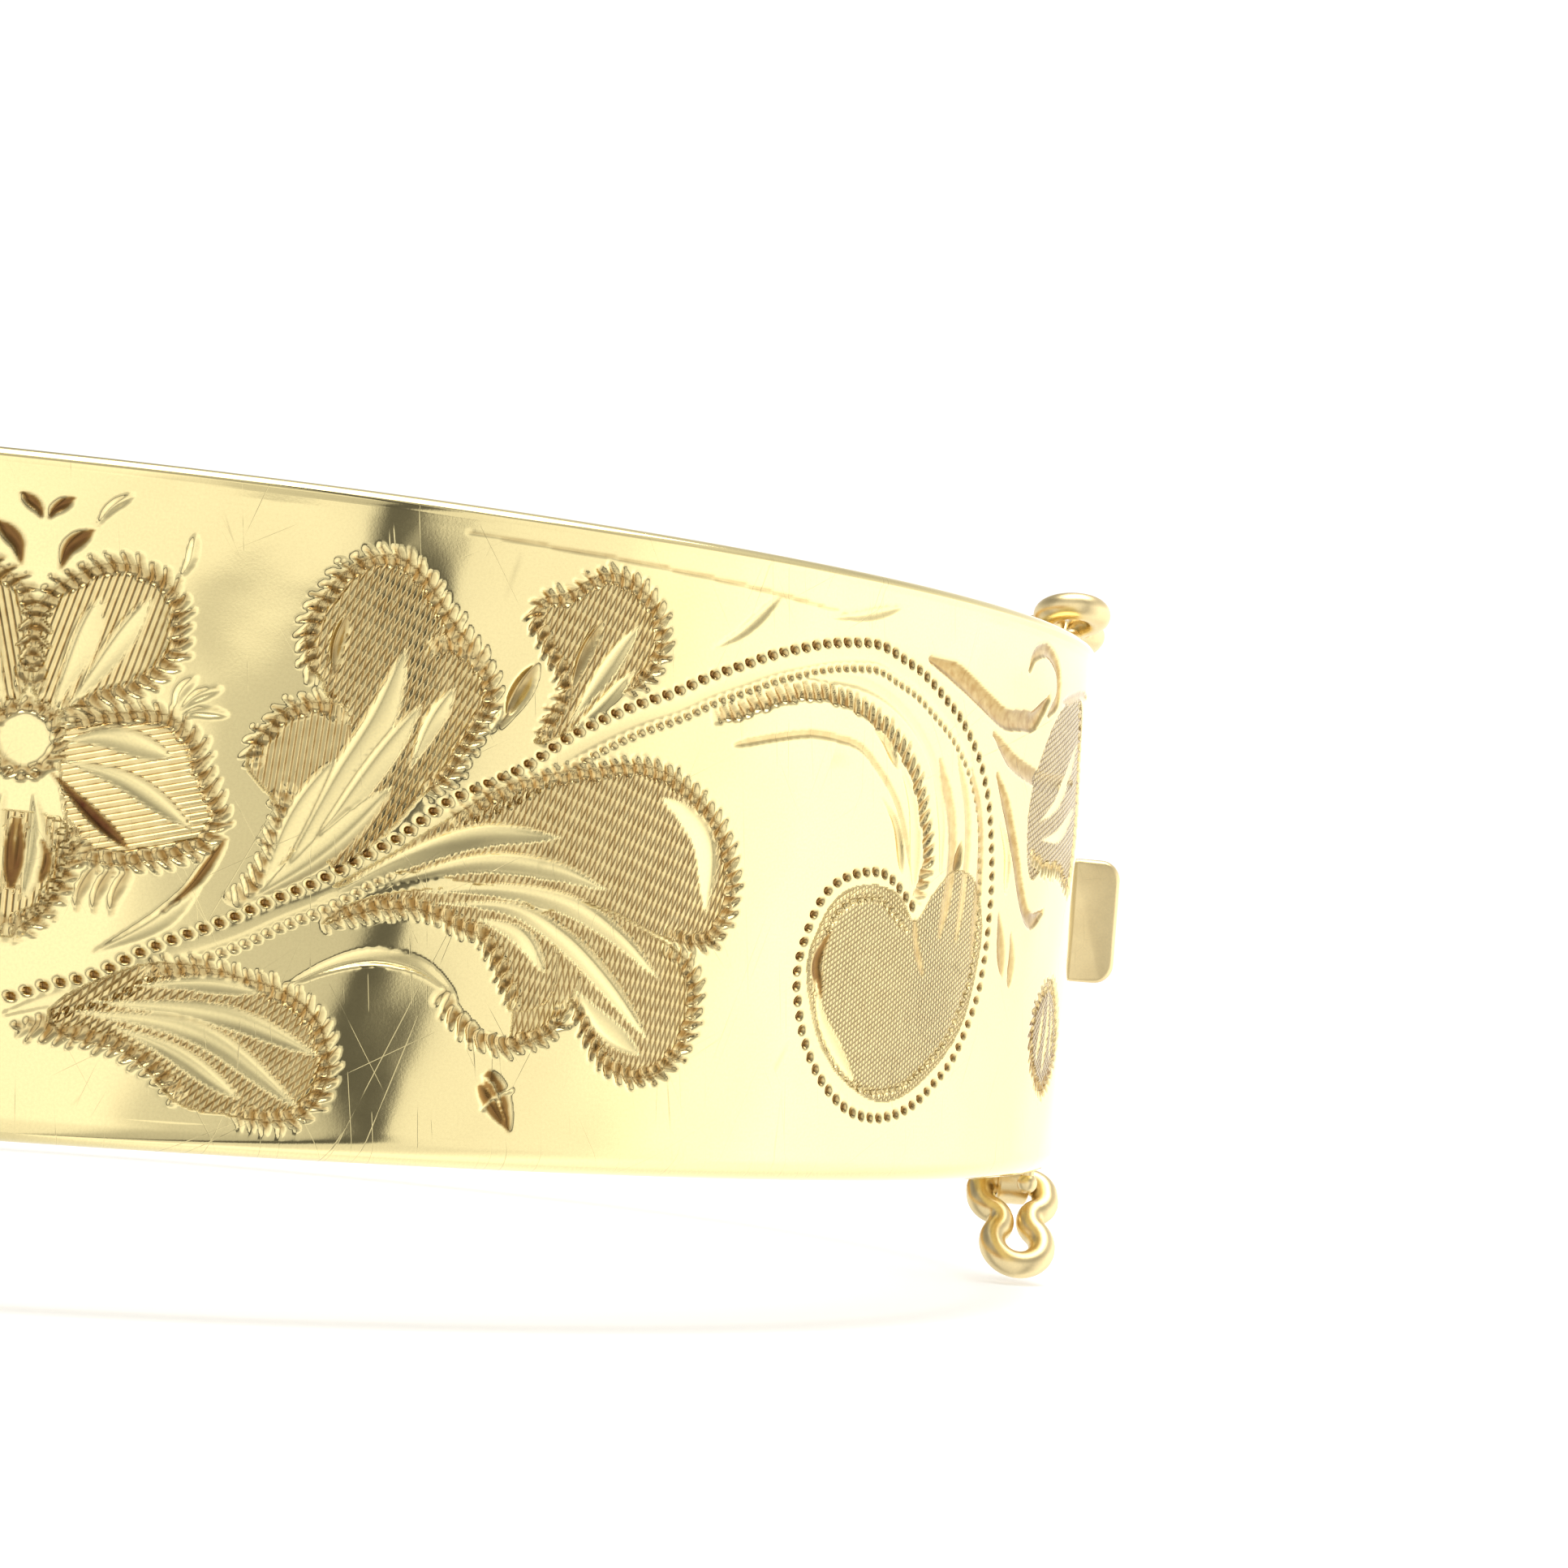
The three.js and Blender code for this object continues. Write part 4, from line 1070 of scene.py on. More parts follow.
def gold_material(name, colour, roughness, scratches, haze, bump, tarnish, engraved=False):
    """Worn gold. The engraved one also reads the marks that the front shell carries."""
    found = bpy.data.materials.get(name)
    if found:
        return found
    material = bpy.data.materials.new(name)
    material.use_nodes = True
    tree = material.node_tree
    surface = tree.nodes["Principled BSDF"]
    surface.inputs["Metallic"].default_value = 1.0
    if engraved:
        place = attribute_vector(tree, "band")
    else:
        metres = tree.nodes.new("ShaderNodeTexCoord").outputs["Object"]
        scaled = node(
            tree, "ShaderNodeVectorMath", operation="SCALE", Vector=metres, Scale=1 / MM
        )
        place = scaled.outputs[0]
    wear = node(
        tree, "ShaderNodeGroup", node_tree=wear_group(),
        Vector=place, Scratches=scratches, Haze=haze,
    )
    height = wear.outputs["Height"]
    rough = maths(tree, "ADD", wear.outputs["Roughness"], roughness)
    spots = node(tree, "ShaderNodeTexNoise", Vector=place, Scale=0.7, Detail=5.0)
    patches = maths(tree, "SUBTRACT", spots.outputs["Fac"], 0.45)
    dirt_and_shade = maths(tree, "MULTIPLY", patches, tarnish, clamp=True)
    if engraved:
        masks, counts = (
            node(tree, "ShaderNodeSeparateXYZ", Vector=attribute_vector(tree, each)).outputs
            for each in ("marks", "liner")
        )
        first, second = (
            node(
                tree, "ShaderNodeGroup", node_tree=liner_group(),
                Count=counts[family], Mask=masks[family],
            ).outputs[0]
            for family in (0, 1)
        )
        lines = maths(tree, "MAXIMUM", first, second)
        height = maths(tree, "MULTIPLY_ADD", lines, -3.2, height)
        rough = maths(tree, "MULTIPLY_ADD", lines, 0.16, rough)
        rough = maths(tree, "MULTIPLY_ADD", counts[2], 0.16, rough)
        # The engraved face adds the brown of its cuts from the marks, which holds painted shade as
        # well as patina.
        dirt_and_shade = maths(tree, "ADD", dirt_and_shade, maths(tree, "MULTIPLY_ADD", lines, 0.62, masks[2]))
    gold = settings().gold
    colours = node(
        tree, "ShaderNodeGroup", node_tree=browned_gold_group(),
        Gold=(*colour, 1.0), Tarnish=(*gold.tarnish, 1.0), Grime=(*gold.grime_and_shade, 1.0),
        Mask=dirt_and_shade, Shade=wear.outputs["Shade"], Vector=place,
    )
    relief = node(tree, "ShaderNodeBump", Strength=1.0, Distance=bump * MM, Height=height)
    tree.links.new(colours.outputs[0], surface.inputs["Base Color"])
    tree.links.new(rough, surface.inputs["Roughness"])
    tree.links.new(relief.outputs[0], surface.inputs["Normal"])
    return material


def engraved_gold():
    gold = settings().gold
    return gold_material("Engraved gold", gold.engraved, gold.roughness, 1.0, 1.0, 0.012, 0.1, True)


def polished_gold():
    gold = settings().gold
    return gold_material("Polished gold", gold.polished, gold.roughness, 1.0, 1.0, 0.012, 0.12)


def inner_gold():
    return gold_material("Satin inner gold", settings().gold.inner, 0.27, 1.0, 1.3, 0.02, 0.4)


def clasp_gold():
    return gold_material("Clasp gold", settings().gold.clasp, 0.32, 0.7, 1.0, 0.016, 0.7)


def bench_gold():
    return gold_material("File-marked gold", settings().gold.inner, 0.38, 1.0, 1.6, 0.04, 0.9)


# Pieces


def finish_piece(piece, body, material, slot, *nodes):
    piece.data.materials.append(material)
    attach(piece, body)
    if nodes:
        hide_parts(*nodes)
    return piece


def band_attribute(piece, name, values):
    layer = piece.data.attributes.new(name, "FLOAT_VECTOR", "POINT")
    layer.data.foreach_set("vector", np.asarray(values, np.float32).ravel())


def hinge_ends(band, outline, start, end, step, at_start):
    """Arc length of every point of a shell, with the end at the hinge cleared for the knuckles."""
    count = int(math.ceil((end - start) / step))
    s = np.linspace(start, end, count + 1)
    push = band.hinge_start(outline[:, 0])
    grid = np.repeat(s[:, None], len(outline), 1)
    if at_start:
        return grid + push * np.clip(1 - (s - start) / HINGE_EASE, 0, 1)[:, None]
    return grid - push * np.clip(1 - (end - s) / HINGE_EASE, 0, 1)[:, None]


def grid_index(points):
    """Numbers of the points of a grid, row by row."""
    return np.arange(points.shape[0] * points.shape[1]).reshape(points.shape[:2])


def grid_quads(index):
    """Quads over a grid of point numbers whose rows are closed rings."""
    near, far = index[:-1], index[1:]
    return np.stack([near, far, np.roll(far, -1, 1), np.roll(near, -1, 1)], -1)


def band_mesh(name, s, outline, sharp):
    """A closed mesh of one outline carried along the band, capped at both ends."""
    points = Band().place(s, np.broadcast_to(outline[:, 0], s.shape), outline[:, 1])
    index = grid_index(points)
    caps = [index[0], index[-1][::-1]]
    piece = new_mesh(name, points.reshape(-1, 3), grid_quads(index).reshape(-1, 4), caps)
    piece.data.set_sharp_from_angle(angle=math.radians(sharp))
    return piece


def face_waves(band, s, z):
    """Unevenness of the hand-polished face, which fades out near the hinge and the clasp."""
    calm = np.clip((band.seam - s) / 2, 0, 1) * np.clip((s + band.tip) / 4, 0, 1)
    waves = 0.016 * np.sin(0.8 * s + 0.5 * z) * np.sin(0.42 * z + 1)
    waves += 0.006 * np.sin(1.9 * s - 1.1 * z)
    waves += 0.03 * np.clip((z - 5.4) / 2, 0, 1) ** 2
    return calm * (waves + 0.03)


def notched_faces(index, row, low, high, inner_low, inner_high):
    """Quads and end faces of a shell whose face is open between two columns from a row on."""
    quads = grid_quads(index)
    keep = np.ones(quads.shape[:2], bool)
    keep[row:, low:high] = False
    keep[row:, inner_high] = False
    a, b, c, d = (index[row:, column] for column in (low, inner_low, high, inner_high))
    lower_side = np.stack([a[:-1], a[1:], b[1:], b[:-1]], -1)
    upper_side = np.stack([c[:-1], d[:-1], d[1:], c[1:]], -1)
    end = index[-1]
    back = np.concatenate([index[row, low : high + 1], index[row, [inner_high, inner_low]]])
    rings = [
        index[0],
        np.concatenate([end[: low + 1], end[inner_low:]])[::-1],
        end[high : inner_high + 1][::-1],
        back[::-1],
    ]
    return np.concatenate([quads[keep], lower_side, upper_side]), rings


def front_shell():
    """The engraved shell with the notch for the thumbpiece."""
    band = Band()
    sizes = settings().engraving
    pitch = mm(sizes.pitch)
    low, high = NOTCH
    face_low, face_high = band.edges[0] - band.half_width, band.half_width - band.edges[1]
    face_z = np.round(np.arange(face_low, face_high, pitch), 6)
    outline, face_from, face_to, inner_from = shell_outline(band, face_z, NOTCH)
    s = hinge_ends(band, outline, *band.front, pitch, True)
    z = np.broadcast_to(outline[:, 1], s.shape)
    mirror = 2 * mm(sizes.flower_s) - s
    cut = engrave()
    on_face = np.zeros(len(outline), bool)
    on_face[face_from:face_to] = True
    own = (s > cut.START) & on_face
    other = (mirror > cut.START) & on_face

    def both_halves(sheet):
        here = np.where(own, cut.look_up(sheet, s, z), 0)
        return here, np.where(other, cut.look_up(sheet, mirror, z), 0)

    here, there = both_halves(cut.depth)
    own_wins = (here >= there) & own
    sunk = np.maximum(here, there) + on_face * face_waves(band, s, z)
    points = band.place(s, outline[:, 0] + sunk, z)
    inner = outline[inner_from:]
    corner = (inner[:, 0] == band.skin) & (inner[:, 1] == high)
    inner_high = inner_from + int(np.argmax(corner))
    quads, rings = notched_faces(
        grid_index(points),
        int(np.searchsorted(s[:, 0], band.seam - NOTCH_LENGTH)),
        face_from + int(np.argmin(np.abs(face_z - low))),
        face_from + int(np.argmin(np.abs(face_z - high))),
        inner_high + 1,
        inner_high,
    )
    piece = new_mesh("engraved_front_shell", points.reshape(-1, 3), quads, rings)

    def marks(*sheets):
        return np.stack([np.where(own_wins, *both_halves(sheet)) for sheet in sheets], -1)

    band_attribute(piece, "band", np.stack([s, z, np.zeros_like(s)], -1))
    # The third mark browns the cuts: patina and painted shade.
    band_attribute(piece, "marks", marks(cut.mask_a, cut.mask_b, cut.tarnish))
    band_attribute(piece, "liner", marks(cut.line_a, cut.line_b, cut.satin))
    return finish_piece(piece, "front_half", engraved_gold(), "engraved_gold", "front_outer_shell")


def back_shell():
    band = Band()
    face_low, face_high = band.edges[0] - band.half_width, band.half_width - band.edges[1]
    outline = shell_outline(band, np.linspace(face_low, face_high, 30), NOTCH)[0]
    s = hinge_ends(band, outline, *band.back, PLAIN_STEP, False)
    piece = band_mesh("polished_back_shell", s, outline, 35)
    return finish_piece(piece, "back_half", polished_gold(), "polished_gold", "back_outer_shell")


def liner(name, body, span, replaced):
    """A satin liner sheet with its long edges eased."""
    band = Band()
    half = band.half_width - band.skin - band.solder
    top, bottom, ease = band.wall - band.liner, band.wall, 0.1
    third = 0.3 * ease
    outline = np.array([
        (bottom - ease, -half), (top, -half), (top, half), (bottom - ease, half),
        (bottom - third, half - third), (bottom, half - ease), (bottom, -half + ease),
        (bottom - third, -half + third),
    ])
    s = np.linspace(*span, int((span[1] - span[0]) / PLAIN_STEP))
    piece = band_mesh(name, np.repeat(s[:, None], len(outline), 1), outline, 50)
    return finish_piece(piece, body, inner_gold(), "inner_gold", replaced)


def hinge_parts():
    """The five knuckles and the riveted pin, on the axis of the main hinge."""
    axis = Vector(JOINTS["main_hinge"]["pos_m"])
    for number in range(1, 6):
        body = "front_half" if number % 2 else "back_half"
        name = f"{body.split('_')[0]}_knuckle_{number}"
        low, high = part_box(name)
        profile = tube_profile(KNUCKLE_BORE, KNUCKLE_RADIUS, mm(high.z - low.z), 0.05)
        piece = turned(f"{name}_barrel", profile, True)
        piece.location = (axis.x, axis.y, (low.z + high.z) / 2)
        finish_piece(piece, body, polished_gold(), "polished_gold", name)
    top = mm(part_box("hinge_pin")[1].z)
    neck = top - RIVET_HEIGHT
    half = [(PIN_RADIUS, 0.0), (PIN_RADIUS, neck), (PIN_RADIUS + RIVET_ROUNDING, neck)]
    for a in np.linspace(0, 1.35, 7)[1:]:
        half.append((PIN_RADIUS + RIVET_ROUNDING * math.cos(a), neck + RIVET_HEIGHT * math.sin(a)))
    half.append((0.2, top))
    pin = turned("riveted_hinge_pin", [(r, -h) for r, h in half[:0:-1]] + half, False)
    pin.location = axis
    finish_piece(pin, "front_half", polished_gold(), "polished_gold", "hinge_pin")


def inner_bars():
    """The bars and the clasp box stay as the frame has them, with a file-marked finish."""
    for name in ("front_hinge_bar", "back_hinge_bar", "tongue_bar", "clasp_box"):
        part = frame["nodes"][name]
        part.data.materials.clear()
        part.data.materials.append(bench_gold())


def folded_tongue():
    """One strip of spring gold folded back on itself: fixed leaf below, sprung leaf above."""
    clasp = Band().clasp_matrix()
    half = mm(settings().clasp.tongue_half_width)
    outer = (SPRING_TOP - BASE_BOTTOM) / 2
    inner = (SPRING_BOTTOM - BASE_TOP) / 2
    outline = [(BASE_BOTTOM, TONGUE_ROOT_AT)]
    outline += arc((BASE_BOTTOM + outer, FOLD_AT), outer, 180, 360, 14)
    outline += [(TAIL_TOP, TAIL_AT), (TAIL_TOP - TAIL_THICKNESS, TAIL_AT)]
    outline += arc((BASE_TOP + inner, FOLD_AT), inner, 360, 180, 8)
    outline += [(BASE_TOP, TONGUE_ROOT_AT)]
    levels = (-half, -half + 0.06, half - 0.06, half)
    rings = [[clasp @ Vector((x, y, z)) for x, y in outline] for z in levels]
    piece = skin_rings("folded_tongue_strip", np.array(rings, float), False, 30)
    piece.data.materials.append(clasp_gold())
    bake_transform(piece)
    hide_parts("tongue_base_leaf", "tongue_spring_leaf")


def thumbpiece():
    """The worn thumb plate, with rounded outer corners and a soft rim all round."""
    sizes = settings().clasp
    height, thick = mm(sizes.thumb_height), mm(sizes.thumb_thickness)
    low, high = THUMB_MIDDLE - height / 2, THUMB_MIDDLE + height / 2
    foot, side = TAIL_TOP + 0.05, THUMB_REACH - THUMB_CORNER
    outline = [(foot, low)] + arc((side, low + THUMB_CORNER), THUMB_CORNER, -90, 0, 10)
    outline += arc((side, high - THUMB_CORNER), THUMB_CORNER, 0, 90, 10) + [(foot, high)]
    outline = np.array(outline)
    centre = outline.mean(0)
    clasp = Band().clasp_matrix()
    third = 0.3 * THUMB_RIM
    rings = []
    for along, ease in (
        (0.0, THUMB_RIM),
        (third, third),
        (THUMB_RIM, 0.0),
        (thick - THUMB_RIM, 0.0),
        (thick - third, third),
        (thick, THUMB_RIM),
    ):
        ring = centre + (outline - centre) * (1 - ease / (outline.max(0) - centre))
        rings.append([clasp @ Vector((x, THUMB_AT - along, z)) for x, z in ring])
    piece = skin_rings("worn_thumbpiece", np.array(rings, float), False, 60)
    finish_piece(piece, "spring_tongue", clasp_gold(), "clasp_gold", "thumbpiece")


def eight_path(wire):
    """Centre line of the figure of eight as straight runs and arcs that touch."""
    sizes = settings().clasp
    tube_half, tube_radius = mm(sizes.tube_length) / 2, mm(sizes.tube_radius)
    reach, far_radius = mm(sizes.catch_length), wire + mm(sizes.ball_radius) + TUBE_ROOM
    bend = wire + BEND_ROOM
    wide = tube_half + TUBE_ROOM + bend
    turn = TUBE_ROOM + bend
    rim = np.array([tube_half, tube_radius])
    across = np.array([0.0, reach]) - rim
    gap = float(np.hypot(*across))
    along = ((turn + bend) ** 2 - (far_radius + bend) ** 2 + gap**2) / (2 * gap)
    way = across / gap
    aside = math.sqrt((turn + bend) ** 2 - along**2)
    waist = rim + way * along + np.array([way[1], -way[0]]) * aside
    to_waist = math.degrees(math.atan2(waist[1] - rim[1], waist[0] - rim[0]))
    to_loop = math.degrees(math.atan2(reach - waist[1], -waist[0]))
    side = [(0.0, 0.0)] + arc((wide - bend, bend), bend, -90, 0, 16)
    side += arc(rim, turn, 0, to_waist, 16) + arc(waist, bend, to_waist + 180, to_loop, 20)[1:]
    side += arc((0.0, reach), far_radius, to_loop - 180, 90, 28)[1:]
    line = np.array(side + [(-x, y) for x, y in side[-2:0:-1]])
    closed = np.vstack([line, line[:1]])
    run = run_along(closed)
    return line_at(closed, run, np.linspace(0, run[-1], 240, endpoint=False))


def set_on_pivot(piece, label, turn):
    """Puts a part on the pivot of the upper or lower catch, turned from the clasp's frame."""
    pivot = Vector(JOINTS[f"{label}_catch_swing"]["pos_m"])
    square = Band().clasp_matrix().to_3x3().to_4x4()
    piece.matrix_world = Matrix.Translation(pivot) @ (square @ turn)


def catch_loop(label, side):
    """One wire catch, sprung a little away from the edge towards its far loop."""
    wire = mm(settings().clasp.wire_radius)
    line = eight_path(wire)
    along = np.roll(line, -1, 0) - np.roll(line, 1, 0)
    along /= np.linalg.norm(along, axis=1, keepdims=True)
    angles = np.linspace(0, 2 * math.pi, 28, endpoint=False)
    rings = []
    for (x, y), (tx, ty) in zip(line, along):
        across = wire * np.cos(angles)
        lift = side * 0.1 * max(y, 0) ** 2 / 9
        rings.append(np.stack([x - ty * across, y + tx * across, lift + wire * np.sin(angles)], -1))
    rings = np.array(rings) * (-1, -1, 1)
    piece = skin_rings(f"{label}_wire_catch", rings, True, 80)
    set_on_pivot(piece, label, Matrix.Rotation(-side * math.radians(CATCH_SWING[label]), 4, "X"))
    finish_piece(piece, f"{label}_catch", clasp_gold(), "clasp_gold", f"{label}_catch_loop")


def catches():
    """Both wire catches with their tubes and ball pegs."""
    sizes = settings().clasp
    ball, wire = mm(sizes.ball_radius), mm(sizes.wire_radius)
    height = mm(settings().band.solder) + wire + ball / 2
    bore, radius, span = mm(sizes.tube_bore), mm(sizes.tube_radius), mm(sizes.tube_length)
    for label, side in (("upper", 1), ("lower", -1)):
        tube = turned(f"{label}_pivot_tube", tube_profile(bore, radius, span, 0.06), True)
        set_on_pivot(tube, label, Matrix.Rotation(math.pi / 2, 4, "Y"))
        finish_piece(tube, "back_half", clasp_gold(), "clasp_gold", f"{label}_catch_tube")
        profile = [(PEG_NECK, 0.0)]
        for a in np.linspace(math.asin(PEG_NECK / ball), math.pi * 0.97, 24):
            profile.append((ball * math.sin(a), height - ball * math.cos(a)))
        peg = turned(f"{label}_ball_peg", profile, False)
        low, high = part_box(f"{label}_catch_peg")
        foot = low.z if side > 0 else high.z
        flip = Matrix.Rotation(0 if side > 0 else math.pi, 4, "X")
        middle = ((low.x + high.x) / 2, (low.y + high.y) / 2, foot)
        peg.matrix_world = Matrix.Translation(middle) @ flip
        finish_piece(peg, "front_half", clasp_gold(), "clasp_gold", f"{label}_catch_peg")
        catch_loop(label, side)


# Stage


CAMERA_AT = (-1.295, -107.51, -2.369)
CAMERA_RIGHT = (0.97104533, -0.22376704, 0.08366173)
CAMERA_DOWN = (0.09311281, 0.03200443, -0.99514106)
CAMERA_FORWARD = (0.22000223, 0.97411705, 0.05191333)

AROUND = (
    (-180, 1.0), (-130, 1.08), (-100, 0.5), (-86, 0.45), (-74, 1.05), (-40, 1.0), (-20, 1.1),
    (-7, 1.2), (6, 1.2), (9, 0.98), (12, 0.72), (22, 0.67), (26.6, 0.62), (27.2, 0.12),
    (32.3, 0.13), (32.8, 0.86), (36, 1.0), (50, 1.12), (62, 1.4), (74, 1.65), (104, 1.6),
    (125, 1.35), (160, 1.45), (180, 1.0),
)
AROUND_HIGH = (
    (-180, 1.0), (-110, 0.6), (-86, 0.6), (-70, 1.05), (-7, 1.2), (9, 1.05), (20, 1.05),
    (26.0, 0.95), (27.2, 0.13), (32.3, 0.14), (33.0, 0.95), (50, 1.1), (62, 1.4), (74, 1.65),
    (104, 1.7), (125, 1.5), (160, 1.5), (180, 1.0),
)
ABOVE = (
    (-90, 0.8), (-60, 0.82), (-35, 0.86), (-15, 0.97), (14, 1.0), (24, 0.62), (42, 0.38),
    (60, 0.5), (75, 1.3), (90, 1.6),
)
# Elevation in degrees where the upper levels start, and how far they take to come in
HIGH_FROM = 5.2
HIGH_OVER = 1.2
# The floor fades out between these distances from the bangle, in metres
FADE_FROM = 0.05
FADE_TO = 0.14
FLOOR_RADIUS = 1500


def level_ramp(tree, angle, span, stops):
    """Brightness from an angle in degrees, set by listed stops."""
    share = maths(tree, "MULTIPLY_ADD", angle, 180 / math.pi / (2 * span), 0.5)
    ramp = tree.nodes.new("ShaderNodeValToRGB")
    tree.links.new(share, ramp.inputs[0])
    elements = ramp.color_ramp.elements
    while len(elements) < len(stops):
        elements.new(0.5)
    for element, (degrees, value) in zip(elements, stops):
        element.position = degrees / (2 * span) + 0.5
        element.color = (value / 2, value / 2, value / 2, 1)
    return maths(tree, "MULTIPLY", ramp.outputs[0], 2.0)


def white_room(strength):
    """A bright room with a dark upright panel, seen only in the metal; the backdrop is white."""
    world = bpy.data.worlds.new("White room")
    bpy.context.scene.world = world
    world.use_nodes = True
    tree = world.node_tree
    background = tree.nodes["Background"]
    way = tree.nodes.new("ShaderNodeTexCoord").outputs["Generated"]
    x, y, z = node(tree, "ShaderNodeSeparateXYZ", Vector=way).outputs
    around = maths(tree, "ARCTAN2", x, maths(tree, "MULTIPLY", y, -1.0))
    above = maths(tree, "ARCSINE", z)
    steepness = 180 / math.pi / HIGH_OVER
    lift = maths(tree, "MULTIPLY_ADD", above, steepness, -HIGH_FROM / HIGH_OVER, clamp=True)
    low = level_ramp(tree, around, 180, AROUND)
    high = level_ramp(tree, around, 180, AROUND_HIGH)
    wall = maths(tree, "MULTIPLY_ADD", lift, maths(tree, "SUBTRACT", high, low), low)
    level = maths(tree, "MULTIPLY", wall, level_ramp(tree, above, 90, ABOVE))
    seen = tree.nodes.new("ShaderNodeLightPath").outputs["Is Camera Ray"]
    shown = maths(tree, "MULTIPLY", level, maths(tree, "SUBTRACT", 1.0, seen))
    total = maths(tree, "MULTIPLY_ADD", seen, 1.1, shown)
    tree.links.new(maths(tree, "MULTIPLY", total, strength), background.inputs["Strength"])
    background.inputs["Color"].default_value = (1, 1, 1, 1)


def floor_material(colour):
    material = bpy.data.materials.new("Pale floor")
    material.use_nodes = True
    tree = material.node_tree
    surface = tree.nodes["Principled BSDF"].inputs
    surface["Roughness"].default_value = 0.8
    surface["Specular IOR Level"].default_value = 0.1
    surface["Emission Color"].default_value = (1, 1, 1, 1)
    surface["Emission Strength"].default_value = 0.35
    place = tree.nodes.new("ShaderNodeTexCoord").outputs["Object"]
    grain = node(tree, "ShaderNodeTexNoise", Vector=place, Scale=60.0, Detail=3.0)
    factor = maths(tree, "MULTIPLY", grain.outputs["Fac"], 0.03)
    tinted = blend_colours(tree, factor, tuple(colour), (1.0, 1.0, 1.0))
    tree.links.new(tinted, surface["Base Color"])
    away = node(tree, "ShaderNodeVectorMath", operation="LENGTH", Vector=place)
    fade = FADE_TO - FADE_FROM
    kept = maths(
        tree, "MULTIPLY_ADD", away.outputs["Value"], -1 / fade, FADE_TO / fade, clamp=True
    )
    tree.links.new(kept, surface["Alpha"])
    return material


def stage():
    sizes = settings().stage
    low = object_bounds()[0]
    angles = np.linspace(0, 2 * math.pi, 96, endpoint=False)
    rim = [(FLOOR_RADIUS * math.cos(a), FLOOR_RADIUS * math.sin(a), 0.0) for a in angles]
    floor = new_mesh("pale_floor", rim, np.zeros((0, 4), int), [np.arange(96)])
    floor.location.z = low.z - 0.00002
    floor.data.materials.append(floor_material(sizes.floor))
    floor.visible_glossy = False
    floor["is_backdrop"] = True
    white_room(sizes.room_strength)
    lamp = bpy.data.lights.new("soft_overhead", "AREA")
    lamp.shape, lamp.size, lamp.size_y = "RECTANGLE", 0.5, 0.35
    lamp.energy = sizes.lamp_power
    over = bpy.data.objects.new("soft_overhead", lamp)
    over.location = (0.05, -0.05, 0.45)
    bpy.context.scene.collection.objects.link(over)
    lens = bpy.data.cameras.new("camera")
    lens.lens, lens.sensor_width = sizes.lens, 36.0
    lens.clip_start, lens.clip_end = 0.005, 10.0
    camera = bpy.data.objects.new("camera", lens)
    upward, backward = [-v for v in CAMERA_DOWN], [-v for v in CAMERA_FORWARD]
    axes = Matrix((CAMERA_RIGHT, upward, backward)).transposed()
    camera.matrix_world = Matrix.Translation(Vector(CAMERA_AT) * MM) @ axes.to_4x4()
    bpy.context.scene.collection.objects.link(camera)
    bpy.context.scene.camera = camera
    bpy.context.scene.view_settings.view_transform = "Standard"


# Operators


class BANGLE_OT_front_shell(bpy.types.Operator):
    """Build the engraved outer shell of the front half"""

    bl_idname = "bangle.front_shell"
    bl_label = "Engraved front shell"

    def execute(self, context):
        front_shell()
        return {"FINISHED"}


class BANGLE_OT_back_shell(bpy.types.Operator):
    """Build the plain polished outer shell of the back half"""

    bl_idname = "bangle.back_shell"
    bl_label = "Polished back shell"

    def execute(self, context):
        back_shell()
        return {"FINISHED"}


class BANGLE_OT_liners(bpy.types.Operator):
    """Build the satin liners inside both halves"""

    bl_idname = "bangle.liners"
    bl_label = "Satin liners"

    def execute(self, context):
        band = Band()
        liner("satin_front_liner", "front_half", band.front, "front_inner_liner")
        liner("satin_back_liner", "back_half", band.back, "back_inner_liner")
        return {"FINISHED"}


class BANGLE_OT_hinge(bpy.types.Operator):
    """Build the knuckles and the riveted pin of the hinge"""

    bl_idname = "bangle.hinge"
    bl_label = "Knuckles and pin"

    def execute(self, context):
        hinge_parts()
        return {"FINISHED"}


class BANGLE_OT_inner_bars(bpy.types.Operator):
    """Finish the bars and the clasp box inside the shells"""

    bl_idname = "bangle.inner_bars"
    bl_label = "Inner bars and box"

    def execute(self, context):
        inner_bars()
        return {"FINISHED"}


class BANGLE_OT_tongue(bpy.types.Operator):
    """Build the folded spring tongue"""

    bl_idname = "bangle.tongue"
    bl_label = "Folded tongue"

    def execute(self, context):
        folded_tongue()
        return {"FINISHED"}


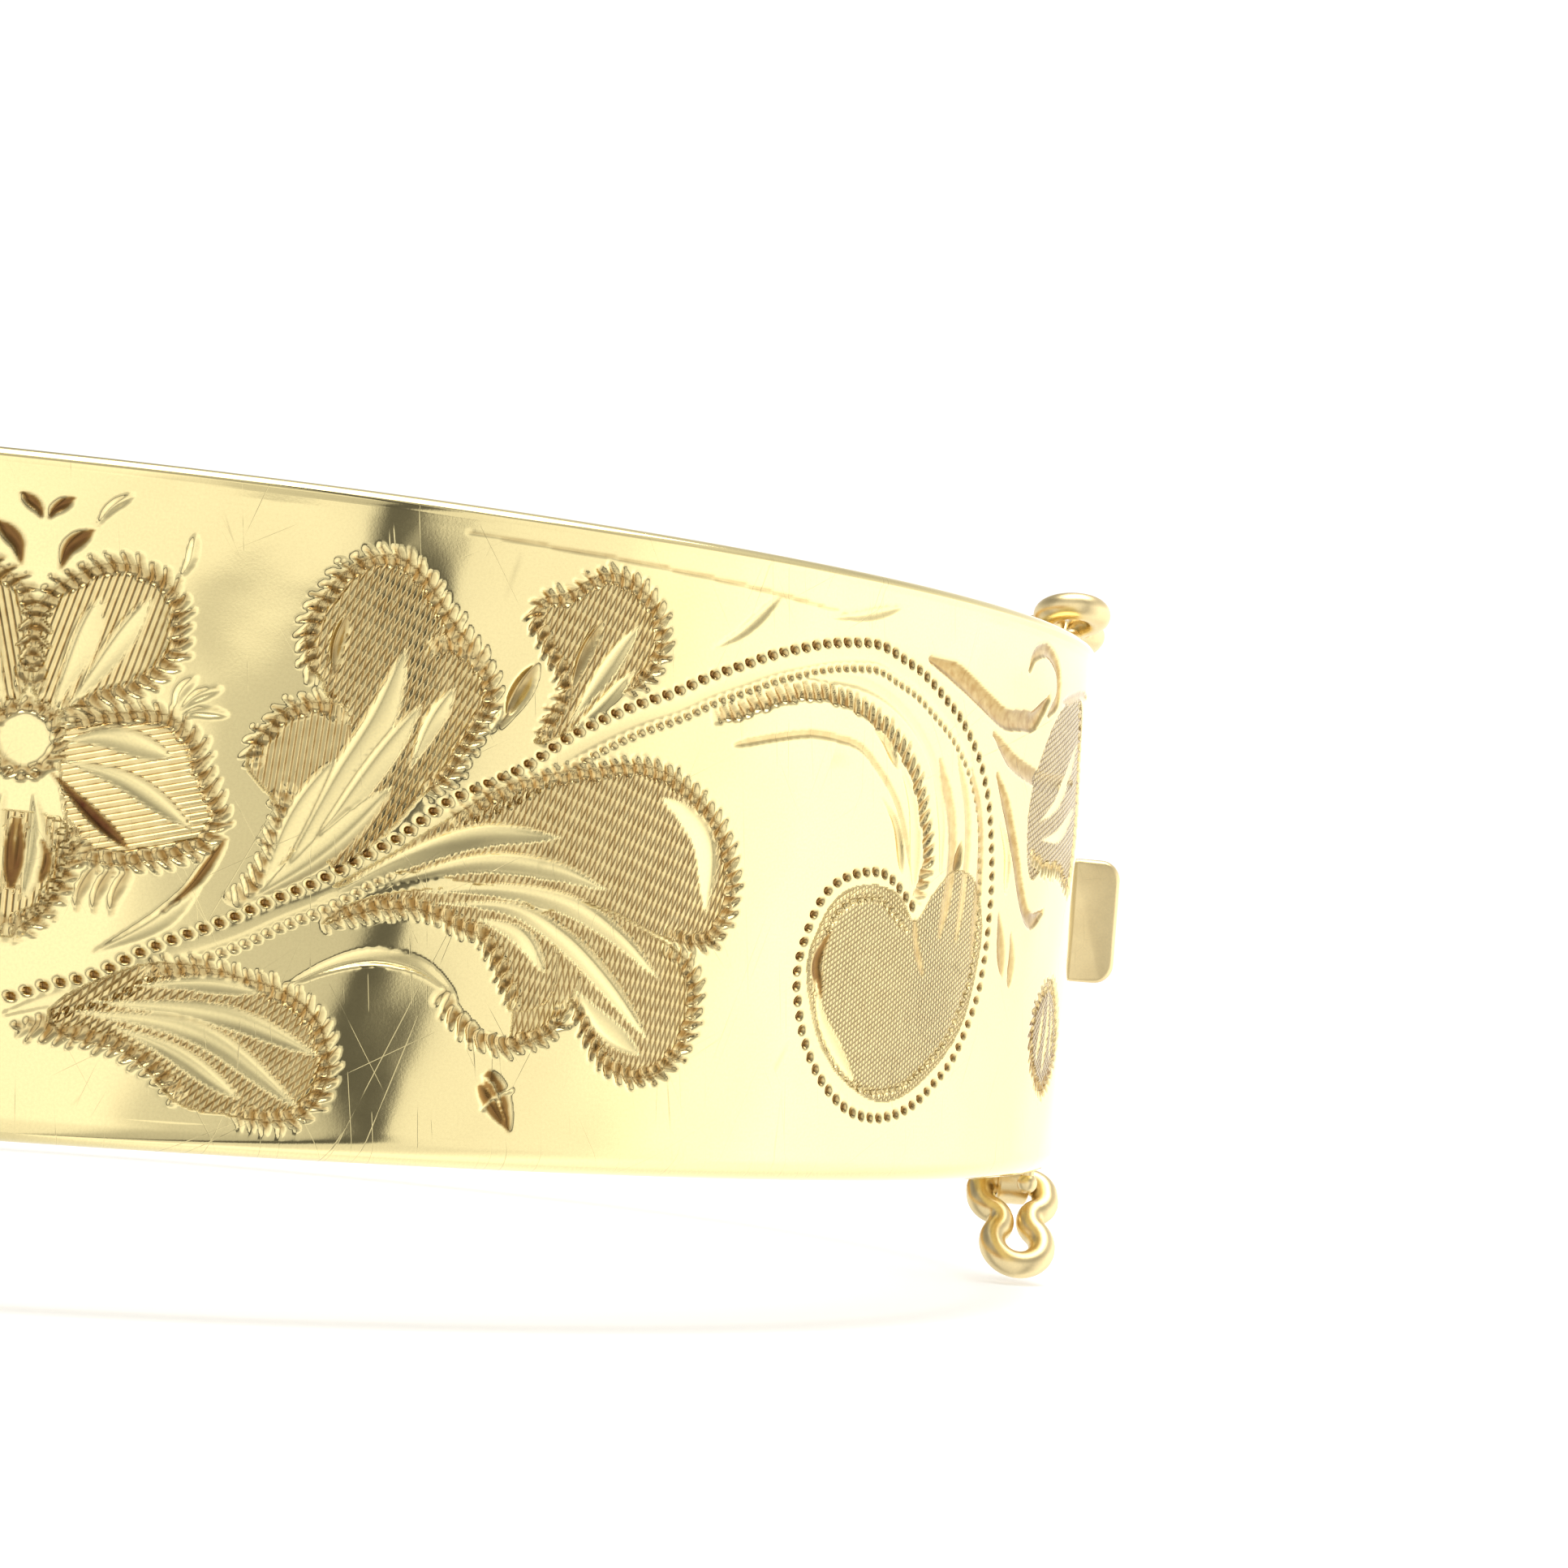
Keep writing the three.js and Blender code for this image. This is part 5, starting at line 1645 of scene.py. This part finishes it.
class BANGLE_OT_thumbpiece(bpy.types.Operator):
    """Build the thumbpiece that stands out of the clasp"""

    bl_idname = "bangle.thumbpiece"
    bl_label = "Thumbpiece"

    def execute(self, context):
        thumbpiece()
        return {"FINISHED"}


class BANGLE_OT_catches(bpy.types.Operator):
    """Build both wire safety catches with their tubes and ball pegs"""

    bl_idname = "bangle.catches"
    bl_label = "Safety catches"

    def execute(self, context):
        catches()
        return {"FINISHED"}


class BANGLE_OT_stage(bpy.types.Operator):
    """Set up the floor, the white room, the lamp and the camera"""

    bl_idname = "bangle.stage"
    bl_label = "Stage"

    def execute(self, context):
        stage()
        return {"FINISHED"}


STEPS = (
    BANGLE_OT_front_shell,
    BANGLE_OT_back_shell,
    BANGLE_OT_liners,
    BANGLE_OT_hinge,
    BANGLE_OT_inner_bars,
    BANGLE_OT_tongue,
    BANGLE_OT_thumbpiece,
    BANGLE_OT_catches,
    BANGLE_OT_stage,
)


class BANGLE_PT_panel(bpy.types.Panel):
    """Lists the steps that build the bangle"""

    bl_idname = "BANGLE_PT_panel"
    bl_label = "Engraved Bangle"
    bl_space_type = "VIEW_3D"
    bl_region_type = "UI"
    bl_category = "Bangle"

    def draw(self, context):
        column = self.layout.column(align=True)
        for step in STEPS:
            column.operator(step.bl_idname)


CLASSES = (
    BangleBandSettings,
    BangleEngravingSettings,
    BangleClaspSettings,
    BangleGoldSettings,
    BangleStageSettings,
    BangleSettings,
    *STEPS,
    BANGLE_PT_panel,
)


def register():
    for each in CLASSES:
        bpy.utils.register_class(each)
    bpy.types.Scene.bangle = PointerProperty(type=BangleSettings)


def unregister():
    del bpy.types.Scene.bangle
    for each in reversed(CLASSES):
        bpy.utils.unregister_class(each)


def main():
    register()
    bpy.ops.bangle.front_shell()
    bpy.ops.bangle.back_shell()
    bpy.ops.bangle.liners()
    bpy.ops.bangle.hinge()
    bpy.ops.bangle.inner_bars()
    bpy.ops.bangle.tongue()
    bpy.ops.bangle.thumbpiece()
    bpy.ops.bangle.catches()
    bpy.ops.bangle.stage()


if __name__ == "__main__":
    main()
